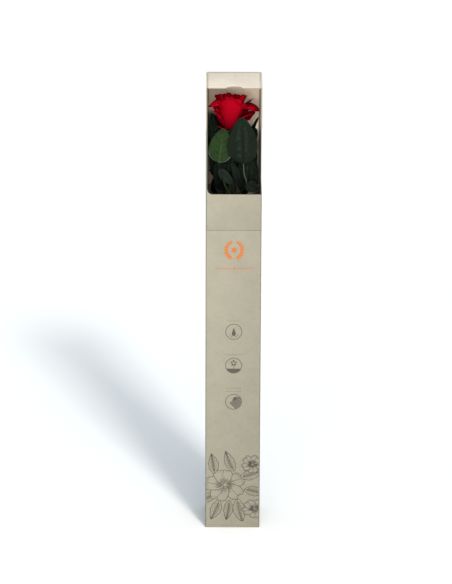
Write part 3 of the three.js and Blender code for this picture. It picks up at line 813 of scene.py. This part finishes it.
# The furled heart, where the frame has a solid core.
HEART_LAYERS = [
    ((80, 200, 320), 72, ((3, 3), (6, 12), (8.6, 27), (6.8, 41)), 0, 0.08),
    ((30, 150, 270), 80, ((2.6, 3), (5, 12), (6.8, 25), (5, 40)), 0, 0.08),
    ((100, 280), 100, ((2, 3), (4, 12), (5, 23), (3.4, 39)), 0, 0.06),
    ((10, 190), 120, ((1.4, 3), (2.6, 11), (3, 22), (1.8, 38)), 0, 0.05),
]
HEART_PROFILE = [(2, 1), (3.8, 2), (4.4, 8), (4.6, 16), (3.6, 24), (1, 28)]
PETAL_ROWS = 30
PETAL_COLUMNS = 41


def bezier(points, t):
    p = np.asarray(points, float)
    s = 1 - t
    weights = (s**3, 3 * s * s * t, 3 * s * t * t, t**3)
    return sum(w[..., None] * q for w, q in zip(weights, p))


def petal_grid(layer, turn, draw, heart=False):
    """A petal's outer face: columns run from one edge to the other and rows from root to lip."""
    _, half_angle, profile, lip, rounding = layer[:5]
    rows = 1 - (1 - np.linspace(0, 1, PETAL_ROWS)) ** 1.25
    along, across = np.meshgrid(rows, np.linspace(-1, 1, PETAL_COLUMNS), indexing="ij")
    edge = np.abs(across)
    lift = along * (1 - rounding * edge**1.8)
    curve = bezier(profile, lift)
    spread = math.radians(half_angle) * across * (1 - 0.22 * along**3)
    rolled = lip * along**3 * (across**2 - 0.3)
    spiral = 0.9 * across * np.minimum(1, 3 * along)
    ripple = 0.9 * along**4 * np.sin(4.4 * across + 0.11 * turn)

    def waves(low, high, power, slow, quick):
        size = draw.uniform(low, high) * along**power
        return size * np.sin(draw.uniform(slow, quick) * across + draw.uniform(0, 6))

    frill = waves(0.2, 0.38, 7, 8, 12)
    crinkle = waves(0.08, 0.16, 10, 21, 29)
    pleat = draw.uniform(0.15, 0.35) * along * np.exp(-((across - draw.uniform(-0.3, 0.3)) / 0.16) ** 2)
    curl = (0.15 if heart else 0.55) * np.clip((along - 0.88) / 0.12, 0, 1) ** 2
    reach = curve[..., 0] + rolled + spiral + ripple + frill + crinkle - pleat + curl
    height = curve[..., 1] - 0.6 * rolled - 0.7 * curl + 1.2 * frill - 0.5 * pleat * along**3
    angle = math.radians(turn) + spread
    return along, across, np.stack([reach * np.cos(angle), reach * np.sin(angle), height], axis=2)


def build_bloom():
    draw = np.random.default_rng(7)
    shells = Shells()
    groups = (PETAL_LAYERS, False), (HEART_LAYERS, True), (BETWEEN_LAYERS, False)
    petals = [(layer, turn, heart) for layers, heart in groups for layer in layers for turn in layer[0]]
    for layer, turn, heart in petals:
        along, across, grid = petal_grid(layer, turn, draw, heart)
        rim = np.minimum(1 - along, (1 - np.abs(across)) * 0.8)
        thick = 0.22 + 0.34 * np.clip(rim / 0.15, 0, 1)
        points, faces, values = sheet(grid, thick[..., None], along=along, across=across, rim=rim)
        dusk = layer[5] if len(layer) > 5 else 0.0
        shells.add(to_bloom(points), faces, tone=draw.uniform(0, 1), dusk=dusk, **values)
    points, faces = lathe(catmull(HEART_PROFILE, 5), 32)
    shells.add(to_bloom(points), faces, along=0.0, rim=1.0)
    settle(shells.build("bloom_petals", [petal_red]), "box", "petals", "bloom")


# ---- the leaves ----
# Each leaf: its finish, the height it leaves the stem, its rachis and its leaflets, which are
# (rachis point, tip, width, the way the upper side looks, sag, fold and, for some, tone).
LEAVES = {
    "leaf_front_right": ("dark", 414, [
        (8, -12, 422), (15, -18.5, 434), (12.2, -22.5, 448), (11.2, -23.5, 461),
    ], [
        (3, (9.1, -26.5, 518), 35, (0, -1, 0.1), 0.03, 0.08, 0.62),
        (1, (28.1, -16.5, 427), 14, (0.1, -1, 0.3), 0.05, 0.12, 0.75),
    ]),
    "leaf_front_left": ("light", 408, [
        (-6, -10, 421), (-11, -20.5, 435), (-15.5, -22, 450), (-17.5, -22, 462),
    ], [
        (3, (-12.5, -20, 502.5), 28.5, (0, -1, 0.1), 0.03, 0.1, 0.6),
    ]),
    "leaf_left": ("dark", 436, [
        (-12, 2, 450), (-18, 2, 463), (-22, 2, 473),
    ], [
        (2, (-26, 1, 515), 13, (0.3, -1, 0.1), 0.03, 0.08),
        (1, (-26, -13, 495), 12, (0.3, -1, 0.1), 0.03, 0.1),
        (1, (-28.8, 15, 478), 15, (1, -0.6, 0.4), 0.05, 0.1),
        (0, (-27, -12, 466), 12, (0.3, -1, 0.2), 0.03, 0.1),
        (2, (-25.6, 4, 440), 10, (0, -1, 0), 0.03, 0.1, 0.95),
    ]),
    "leaf_right": ("dark", 442, [
        (9, 2, 456), (13, 4, 470), (14.5, 5, 482),
    ], [
        (2, (26.6, -3, 497), 17.4, (0.1, -1, 0.3), 0.04, 0.08),
        (1, (26.2, -14, 472), 17, (-0.5, -0.6, 0.8), 0.05, 0.1),
        (1, (25.6, 15, 482), 18, (-1, -0.6, 0.5), 0.05, 0.1),
    ]),
    "leaf_back_left": ("dark", 424, [
        (-7, 11, 438), (-12, 18, 450), (-15, 21, 464),
    ], [
        (2, (-18, 27, 508), 26, (0, -1, 0.1), 0.03, 0.08),
        (1, (-28.5, 24, 480), 19, (0.2, -1, 0.3), 0.05, 0.1),
        (1, (4, 25.5, 472), 23, (0, -1, 0.4), 0.05, 0.1),
        (0, (-28.5, 19, 441), 20, (0, -1, 0.8), 0.05, 0.1),
        (0, (11, 23, 449), 18, (0, -1, 0.8), 0.05, 0.1),
        (0, (-25, 22, 411), 19, (0, -1, 0.3), 0.05, 0.1),
    ]),
    "leaf_back_right": ("dark", 448, [
        (3, 8, 455), (9.2, 16.1, 463), (14, 21, 470), (20, 24, 477),
    ], [
        (2, (11, 27, 497), 22, (0, -1, 0.2), 0.03, 0.08),
        (2, (29, 24, 503.5), 5, (-0.8, -1, 0.1), 0.03, 0.1),
        (3, (26, 25, 490), 9, (0, -1, 0.2), 0.03, 0.1),
        (1, (-2, 20, 489), 13, (0, -1, 0.4), 0.05, 0.1),
        (3, (25.6, 26, 438), 10.4, (0, -1, 0), 0.03, 0.1),
        (2, (27, 19, 421), 16, (0, -1, 0.1), 0.05, 0.1),
    ]),
    "leaf_low_right": ("dark", 402, [
        (9, -3.5, 411), (13.5, -7, 417), (17, -10.5, 425), (18.2, -11, 431),
    ], [
        (3, (18.2, -14, 465), 19.4, (-0.1, -1, 0.2), 0.04, 0.1),
        (1, (-3, -14.5, 462), 10, (0, -1, 0.2), 0.04, 0.1, 0.74),
        (1, (8, -11, 460), 14, (0.1, -1, 0.2), 0.05, 0.1),
        (2, (26.6, 2, 446), 14, (-0.5, -1, 0.6), 0.05, 0.1),
    ]),
    "leaf_low_left": ("dark", 398, [
        (-7, -3, 410), (-12.5, -6, 424), (-16.5, -11, 440), (-17.5, -13.5, 451),
    ], [
        (3, (-1, -18, 433.6), 11, (-0.2, -1, 0.3), 0.05, 0.1, 1.0),
        (1, (-18, -11.5, 466), 18, (0.1, -1, 0.1), 0.04, 0.1),
        (1, (-6, -7, 462), 13, (0.1, -1, 0.4), 0.05, 0.1),
        (0, (-23, 2, 431), 12, (0.4, -1, 0.8), 0.05, 0.1, 0.9),
    ]),
}
DARK_STALKS = 433
STALK_COLOUR = {"leaf_front_right": 0.8, "leaf_front_left": 0.95}
TOOTH_PLACES = np.array((0.0, 0.35, 0.7, 0.92))
TOOTH_REACH = np.array((0.925, 0.965, 1.0, 0.995))
BLADE_COLUMNS = 17
BLADE_THICK = 0.32
EDGE_LEAD = 1 / 96


def leaf_width(along):
    return np.abs(np.sin(np.pi * along**0.78)) ** 0.6 * (1.05 - 0.1 * along)


def add_leaflet(shells, root, spec, draw):
    """A toothed blade, puffed between its side veins and creased at its midrib."""
    _, tip, width, face, sag, fold, *tone = spec
    run = np.subtract(tip, root)
    length = np.linalg.norm(run)
    side = unit(np.cross(run, face))
    face = unit(np.cross(side, run))
    teeth = max(9, round(length / 2.6))
    veins = max(4, round(length / 6.5))
    rows = np.append(((np.arange(teeth)[:, None] + TOOTH_PLACES) / teeth).ravel(), 1.0)
    reach = np.append(np.tile(TOOTH_REACH, teeth), 0.95)
    even = np.linspace(-1, 1, BLADE_COLUMNS)
    along, edge = np.meshgrid(rows, np.sin(even * math.pi / 2) * 0.35 + even * 0.65, indexing="ij")
    size = np.abs(edge)
    toothed = 1 + (reach[:, None] - 1) * size**6
    half = 0.3 + (width / 2) * leaf_width(along)
    phase = veins * (along - 0.4 * width / length * size)
    puff = (np.abs(np.sin(math.pi * phase)) - 0.5) * np.sin(math.pi * np.clip(size, 0, 1)) ** 0.8
    puff = puff * np.clip((0.94 - along) / 0.16, 0, 1)
    bow = sag * length * 4 * along * (1 - along)
    wave = 0.02 * width * np.sin(9 * along + 1.5 * edge) * size
    flutter = 0.01 * width * np.sin(draw.uniform(17, 24) * along + 3 * edge) * size**2
    groove = -0.3 * np.exp(-((edge * half / 0.8) ** 2))
    lift = bow + fold * half * size + wave + flutter + 0.014 * width * puff + groove
    place = along + EDGE_LEAD * size
    shares = (place, run), (edge * half * toothed, side), (lift, face)
    grid = root + sum(share[..., None] * way for share, way in shares)
    rim = np.minimum(along * length, (1 - size) * half)
    points, faces, values = sheet(grid, BLADE_THICK, along=along, edge=edge, phase=phase, rim=rim)
    under = np.repeat((0.0, 1.0), along.size)
    shells.add(points, faces, back=under, tone=tone[0] if tone else draw.uniform(0, 0.5), **values)


def build_leaves():
    draw = np.random.default_rng(19)
    for name, (green, height, rachis, leaflets) in LEAVES.items():
        shells = Shells()
        foot = stem_at(height)
        out = unit((rachis[0] - foot) * (1, 1, 0))
        start = foot + out * (STEM_RADIUS - 0.4)
        bend = foot + out * (STEM_RADIUS + 1.6) + (0, 0, 1)
        route = catmull([start, bend, *rachis], 10)
        swell = 0.9 * np.exp(-np.arange(len(route)) / 5)
        radii = PETIOLE_RADIUS * np.linspace(1, 0.6, len(route)) + swell
        rise = np.clip((route[:, 2] - DARK_STALKS) / 8, 0.1, 1)
        stalk = STALK_COLOUR.get(name, 0.15) * np.append(np.repeat(rise, 12), (rise[0], rise[-1]))
        shells.add(*tube(route, radii, 12), along=0.5, edge=0.0, tone=0.6, stalk=stalk)
        for spec in leaflets:
            add_leaflet(shells, rachis[spec[0]], spec, draw)
        material = light_leaf if green == "light" else dark_leaf
        settle(shells.build(name + "_blades", [material]), "box", "leaf_" + green, name)


# ---- printing on the front: thin raised ribbons and patches of ink ----
UNDER_INK = 0.018
LINE_WEIGHT = 1.5
INK_STEP = 0.004
INK_REAR = INK / 2 - FACE
PRINT_MIDDLE = 0.8
WREATH_HEIGHT = 357
RULE_HEIGHT = 334
ICON_HEIGHTS = (253.9, 210.7, 164.2)
ENGRAVING_TOP = 101
ENGRAVING_FOOT = 8
DOTTED_ROWS = ((267.6, 7), (224.6, 10.5), (181.6, 8.5), (177.6, 8.5))


def ink_ribbon(shells, line, width, closed=False):
    """A strip of ink along a line of (x, z) points, its face UNDER_INK below the patches' faces."""
    line = np.asarray(line, float)
    run = np.roll(line, -1, axis=0) - np.roll(line, 1, axis=0) if closed else np.gradient(line, axis=0)
    run /= np.maximum(np.linalg.norm(run, axis=1, keepdims=True), 1e-9)
    over = np.stack([-run[:, 1], run[:, 0]], axis=1) * np.broadcast_to(width, len(line))[:, None] / 2
    front, rear = UNDER_INK - HALF, INK_REAR
    edges = (line + over, front), (line - over, front), (line - over, rear), (line + over, rear)
    rings = np.stack([np.insert(edge, 1, depth, axis=1) for edge, depth in edges], axis=1)
    shells.add(*loft(rings, capped=not closed))


def ink_patch(shells, outline, order=0):
    """A filled patch of ink inside an anticlockwise outline; a higher order lies under a lower one."""
    depths = (INK_REAR, order * INK_STEP - HALF)
    shells.add(*loft([[(x, y, z) for x, z in outline] for y in depths], capped=True))


def oval(x, z, rx, rz, count=64, start=0.0, sweep=2 * math.pi):
    turns = start + np.arange(count) * sweep / (count if sweep >= 2 * math.pi - 1e-6 else count - 1)
    return np.stack([x + rx * np.cos(turns), z + rz * np.sin(turns)], axis=1)


def placed(points, x, z, turn, squash=1.0):
    """Turns (u, v) points by an angle, flattens them upright and moves them to (x, z)."""
    u, v = np.asarray(points, float).T
    c, s = math.cos(turn), math.sin(turn)
    return np.stack([x + u * c - v * s, z + (u * s + v * c) * squash], axis=1)


def little_leaf(x, z, length, width, turn):
    """A small pointed leaf's outline, growing from (x, z) at an angle."""
    t = np.linspace(0, 1, 13)
    u = np.append(t, t[-2:0:-1]) * length
    v = np.append(-np.sin(math.pi * t), np.sin(math.pi * t[-2:0:-1])) * width / 2
    return placed(np.stack([u, v], axis=1), x, z, turn)


def build_emblem():
    """A small oval wreath over a fine rule with a diamond at its middle, in copper."""
    shells = Shells()
    x, z = PRINT_MIDDLE, WREATH_HEIGHT
    for sign in (-1, 1):
        stalk = oval(x, z, 9.6, 10.6, 40, -math.pi / 2 + sign * 0.12, sign * 2.75)
        ink_ribbon(shells, stalk, np.linspace(0.75, 0.35, len(stalk)))
        for i in range(3, 39, 4):
            run = stalk[i + 1] - stalk[i - 1]
            base = math.atan2(run[1], run[0])
            for order, lean in enumerate((-0.75, 0.75), 2 * (i // 4 % 2)):
                ink_patch(shells, little_leaf(*stalk[i], 4.2 - 0.03 * i, 2.0, base + lean), order)
        ink_ribbon(shells, [(x + sign * 2.6, RULE_HEIGHT), (x + sign * 19, RULE_HEIGHT)], 0.7)
        ink_patch(shells, oval(x + sign * 21, RULE_HEIGHT, 0.8, 0.8, 14))
    for i in range(6):
        ink_patch(shells, little_leaf(x, z, 4.4, 2.0, math.radians(90 + 60 * i)), i % 4)
    ink_patch(shells, oval(x, RULE_HEIGHT, 1.6, 1.6, 4, -math.pi))
    settle(shells.build("emblem_print", [copper_ink], smooth=False), "box", "printed_card")


def draw_drop(shells, x, z):
    drop = []
    for a in np.linspace(-0.5 * math.pi, 1.5 * math.pi, 40, endpoint=False):
        c, s = math.cos(a), math.sin(a)
        wide = 3.3 * c * (1 - 0.45 * (1 + s) / 2) ** 1.6
        drop.append((x + wide, z + min(4.2 * s - 1.2 + 1.6 * max(s, 0) ** 4, 6.2)))
    ink_patch(shells, drop)
    for start in (200, 280):
        ink_ribbon(shells, oval(x, z - 1.4, 5.4, 5.4, 16, math.radians(start), math.radians(60)), 0.5)


def draw_planted_blossom(shells, x, z):
    ink_patch(shells, oval(x, z, 9.15, 9.15, 40, math.radians(205), math.radians(130)))
    ink_ribbon(shells, [(x, z - 4.5), (x + 0.3, z - 1), (x, z + 1.5)], 0.6)
    for i in range(5):
        turn = math.radians(90 + 72 * i)
        base = (x + math.cos(turn), z + 3.3 + math.sin(turn))
        ink_patch(shells, little_leaf(*base, 3.2, 2.3, turn), i % 4)


def draw_shaded_leaf(shells, x, z):
    c = math.sqrt(0.5)
    for i in range(7):
        offset = 2 * i - 8.2
        reach = math.sqrt(9.2**2 - offset**2) * 0.98
        spots = (-reach, min(reach, 0.4 + 0.35 * i))
        ink_ribbon(shells, [(x - (offset + s) * c, z - (offset - s) * c) for s in spots], 1.45)
    ink_patch(shells, little_leaf(x - 1.5, z + 1.5, 8.0, 4.2, math.radians(38)))


def build_icons():
    """Three round grey marks down the middle, with dotted rows over them."""
    shells = Shells()
    for z, picture in zip(ICON_HEIGHTS, (draw_drop, draw_planted_blossom, draw_shaded_leaf)):
        ink_ribbon(shells, oval(PRINT_MIDDLE, z, 9.6, 9.6, 72), 0.75, closed=True)
        picture(shells, PRINT_MIDDLE, z)
    for z, half in DOTTED_ROWS:
        for place in np.arange(-half, half + 0.1, 2.1):
            ink_patch(shells, oval(PRINT_MIDDLE + place, z, 0.42, 0.42, 10))
    settle(shells.build("icon_prints", [grey_ink], smooth=False), "box", "printed_card")


class Engraving:
    """Lines drawn from front to back: what a shape covers is left out of the lines after it."""

    def __init__(self, low, high):
        self.low, self.high = np.array(low, float), np.array(high, float)
        self.shells = Shells()
        self.covers = []

    def free(self, line):
        clear = np.all((line > self.low) & (line < self.high), axis=1)
        for outline in self.covers:
            x, z = line[:, :1], line[:, 1:]
            x0, z0 = outline[:, 0], outline[:, 1]
            x1, z1 = np.roll(x0, -1), np.roll(z0, -1)
            spans = (z0 > z) != (z1 > z)
            cross = x0 + (z - z0) * (x1 - x0) / np.where(z1 == z0, 1e-9, z1 - z0)
            clear &= np.count_nonzero(spans & (x < cross), axis=1) % 2 == 0
        return clear

    def stroke(self, line, width, swell=0.0):
        """One line, thicker at its middle by swell."""
        line = np.asarray(line, float)
        lengths = np.concatenate([[0], np.cumsum(np.linalg.norm(np.diff(line, axis=0), axis=1))])
        count = max(int(lengths[-1] / 0.45), 3)
        spots = np.linspace(0, lengths[-1], count)
        line = np.stack([np.interp(spots, lengths, line[:, k]) for k in (0, 1)], axis=1)
        widths = LINE_WEIGHT * (width + swell * np.sin(math.pi * spots / max(lengths[-1], 1e-9)))
        clear = self.free(line)
        for run in np.split(np.arange(count), np.flatnonzero(np.diff(clear)) + 1):
            if clear[run[0]] and len(run) > 2:
                ink_ribbon(self.shells, line[run], widths[run])

    def shape(self, outline, width, strokes=()):
        """An outline with its inner strokes, which then covers what comes after."""
        outline = np.asarray(outline, float)
        self.stroke(np.concatenate([outline, outline[:1]]), width, 0.12)
        for line, thin, swell in strokes:
            self.stroke(line, thin, swell)
        self.covers.append(outline)


def draw_blossom(art, draw, x, z, size, turn, squash):
    """An open five-petalled blossom with a ring of stamens."""

    def at(u, v, angle):
        return placed(np.stack([u, v], axis=1), x, z, angle, squash)

    for i in range(14):
        a = 2 * math.pi * i / 14 + draw.uniform(-0.1, 0.1)
        far = size * draw.uniform(0.2, 0.27)
        art.stroke(at((size * 0.1, far), (0, 0), a), 0.22)
        art.shape(at(*oval(far + 0.5, 0, 0.55, 0.4, 8).T, a), 0.22)
    art.shape(at(*oval(0, 0, size * 0.1, size * 0.1, 20).T, 0), 0.34)
    s = np.linspace(-math.pi, math.pi, 61)[:-1]
    for i in range(5):
        wobble = draw.uniform(0, 6)
        length = size * draw.uniform(0.95, 1.06)
        wide = size * draw.uniform(0.5, 0.58)
        u = length * (0.5 - 0.5 * np.cos(s)) * (1 - 0.1 * np.exp(-((np.abs(s) - math.pi) ** 2) / 0.05))
        u = u + 0.03 * size * np.sin(5 * s + wobble) * (1 - np.cos(s)) / 2
        v = wide * np.sin(s) * (0.5 + 0.5 * (u / length)) + 0.02 * size * np.sin(4 * s + wobble)
        angle = turn + 2 * math.pi * i / 5
        strokes = []
        for f in np.linspace(-0.8, 0.8, 13):
            t = np.linspace(0.14, draw.uniform(0.38, 0.62) - 0.15 * abs(f), 9)
            strokes.append((at(t * length, f * wide * (0.18 + 1.05 * t), angle), 0.16, 0.14))
        for f in np.linspace(-0.9, 0.9, 15):
            t = np.linspace(draw.uniform(0.74, 0.86), 0.93 - 0.14 * f * f, 6)
            strokes.append((at(t * length, f * wide * (0.25 + 0.9 * t), angle), 0.14, 0.1))
        t = np.linspace(0.3, 0.88, 12)
        strokes.append((at(t * length, wide * (0.1 * np.sin(4 * t) - 0.05), angle), 0.2, 0.16))
        art.shape(at(u, v, angle), 0.42, strokes)


def draw_leaf(art, draw, x, z, length, width, turn, bend):
    """A curved pointed leaf with side veins and a shaded half."""
    t = np.linspace(0, 1, 31)

    def at(along, over):
        half = width / 2 * np.sin(math.pi * along**0.85) ** 0.9
        v = over * half + bend * length * along * (1 - along)
        return placed(np.stack([along * length, v], axis=1), x, z, turn)

    edge = 1 + 0.05 * np.sin(t * 26)
    outline = np.concatenate([at(t, -edge), at(t[::-1], edge[::-1])[1:-1]])
    strokes = [(at(t, 0 * t), 0.3, 0.16)]
    for root in np.arange(1, 9) / 9.2:
        for sign in (-1, 1):
            q = np.linspace(0, 1, 9)
            strokes.append((at(np.clip(root + 0.16 * q, 0, 0.99), sign * 0.94 * q), 0.16, 0.12))
            for extra in range(1, 4):
                q = np.linspace(0.05, draw.uniform(0.35, 0.6) if sign > 0 else 0.3, 6)
                spots = np.clip(root + extra / 36.8 + 0.16 * q, 0, 0.99)
                strokes.append((at(spots, sign * 0.94 * q), 0.13, 0.08))
    art.shape(outline, 0.4, strokes)


# Each blossom: x, z, size, turn, flattening. Each leaf: x, z, length, width, turn, bend.
BLOSSOMS = [(-9, 56, 25, 100, 0.86), (24, 83, 13.5, 60, 0.9), (27, 25, 16, 130, 0.8)]
FOLIAGE = [
    (2, 74, 28, 12, 112, 0.1),
    (9, 66, 30, 13, 18, -0.1),
    (-16, 36, 27, 13, -112, 0.12),
    (6, 38, 32, 14, -78, -0.14),
    (-22, 70, 27, 12, 98, -0.12),
    (-4, 36, 26, 11, -98, 0.12),
    (14, 50, 26, 12, -14, 0.12),
    (-20, 44, 24, 12, -160, 0.1),
]


def build_engraving():
    """Loose line drawing of plain open blossoms and leaves that runs off both sides of the foot."""
    side = HALF - 1.1
    art = Engraving((-side, ENGRAVING_FOOT), (side, ENGRAVING_TOP))
    draw = np.random.default_rng(5)
    for x, z, size, turn, squash in BLOSSOMS:
        draw_blossom(art, draw, x, z, size, math.radians(turn), squash)
    for x, z, length, width, turn, bend in FOLIAGE:
        draw_leaf(art, draw, x, z, length, width, math.radians(turn), bend)
    settle(art.shells.build("engraved_blossoms", [line_ink], smooth=False), "box", "printed_card")


# ---- carried-over pieces ----
def dress_frame():
    for node in ("neck_liner", "stem_holder"):
        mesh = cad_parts[node].data
        mesh.materials.clear()
        mesh.materials.append(inner_card)


# ---- floor, light and camera ----
FLOOR_GREYS = (0.83, 0.845)
FLOOR_REACH = 60000
SKY_COLOUR = (0.81, 0.92, 1, 1)
SKY_STRENGTH = 0.64
# Each light: the way to it, its strength, its spread in degrees and its colour.
LIGHTS = {
    "key": ((0.27, -0.73, 0.628), 2.0, 9, (1, 0.965, 0.915)),
    "key_wide": ((0.24, -0.74, 0.62), 1.1, 34, (1, 0.965, 0.915)),
    "front_fill": ((-0.19, -0.97, 0.13), 2.05, 34, (1, 0.975, 0.945)),
}


def build_stage():
    g = Nodes("studio_floor")
    tone = g.noise(600, 2)
    colour = g.mix(tone, *((grey, grey, grey, 1) for grey in FLOOR_GREYS))
    g.finish(base_color=colour, roughness=1.0, specular_ior_level=0.0)
    corners = [(x * FLOOR_REACH, y * FLOOR_REACH, 0) for x, y in ((-1, -1), (1, -1), (1, 1), (-1, 1))]
    make_object("floor", corners, [(0, 1, 2, 3)], [g.material], smooth=False)


def add_sun(name, toward, strength, spread, colour):
    """A distant soft light; toward points from the object to it."""
    data = bpy.data.lights.new(name, "SUN")
    data.energy = strength
    data.angle = math.radians(spread)
    data.color = colour
    lamp = bpy.data.objects.new(name, data)
    lamp.rotation_euler = Vector(toward).to_track_quat("Z", "Y").to_euler()
    bpy.context.scene.collection.objects.link(lamp)


def build_lights():
    for name, light in LIGHTS.items():
        add_sun(name, *light)
    world = bpy.data.worlds.new("studio")
    world.use_nodes = True
    sky = world.node_tree.nodes["Background"].inputs
    sky["Color"].default_value = SKY_COLOUR
    sky["Strength"].default_value = SKY_STRENGTH
    bpy.context.scene.world = world


def build_camera():
    data = bpy.data.cameras.new("camera")
    data.lens = CAMERA_LENS
    data.sensor_width = CAMERA_SENSOR
    data.clip_end = 200
    place = Matrix.Translation(CAMERA_PLACE)
    for angle, axis in ((-CAMERA_YAW, "Z"), (math.pi / 2 - CAMERA_PITCH, "X"), (CAMERA_ROLL, "Z")):
        place = place @ Matrix.Rotation(angle, 4, axis)
    camera = bpy.data.objects.new("camera", data)
    camera.matrix_world = place
    bpy.context.scene.collection.objects.link(camera)
    bpy.context.scene.camera = camera


build_stage()
build_lights()
build_camera()
build_base()
build_window_box()
build_lid()
dress_frame()
build_stem()
build_bloom()
build_leaves()
build_emblem()
build_icons()
build_engraving()
bpy.context.scene.view_settings.view_transform = "Standard"
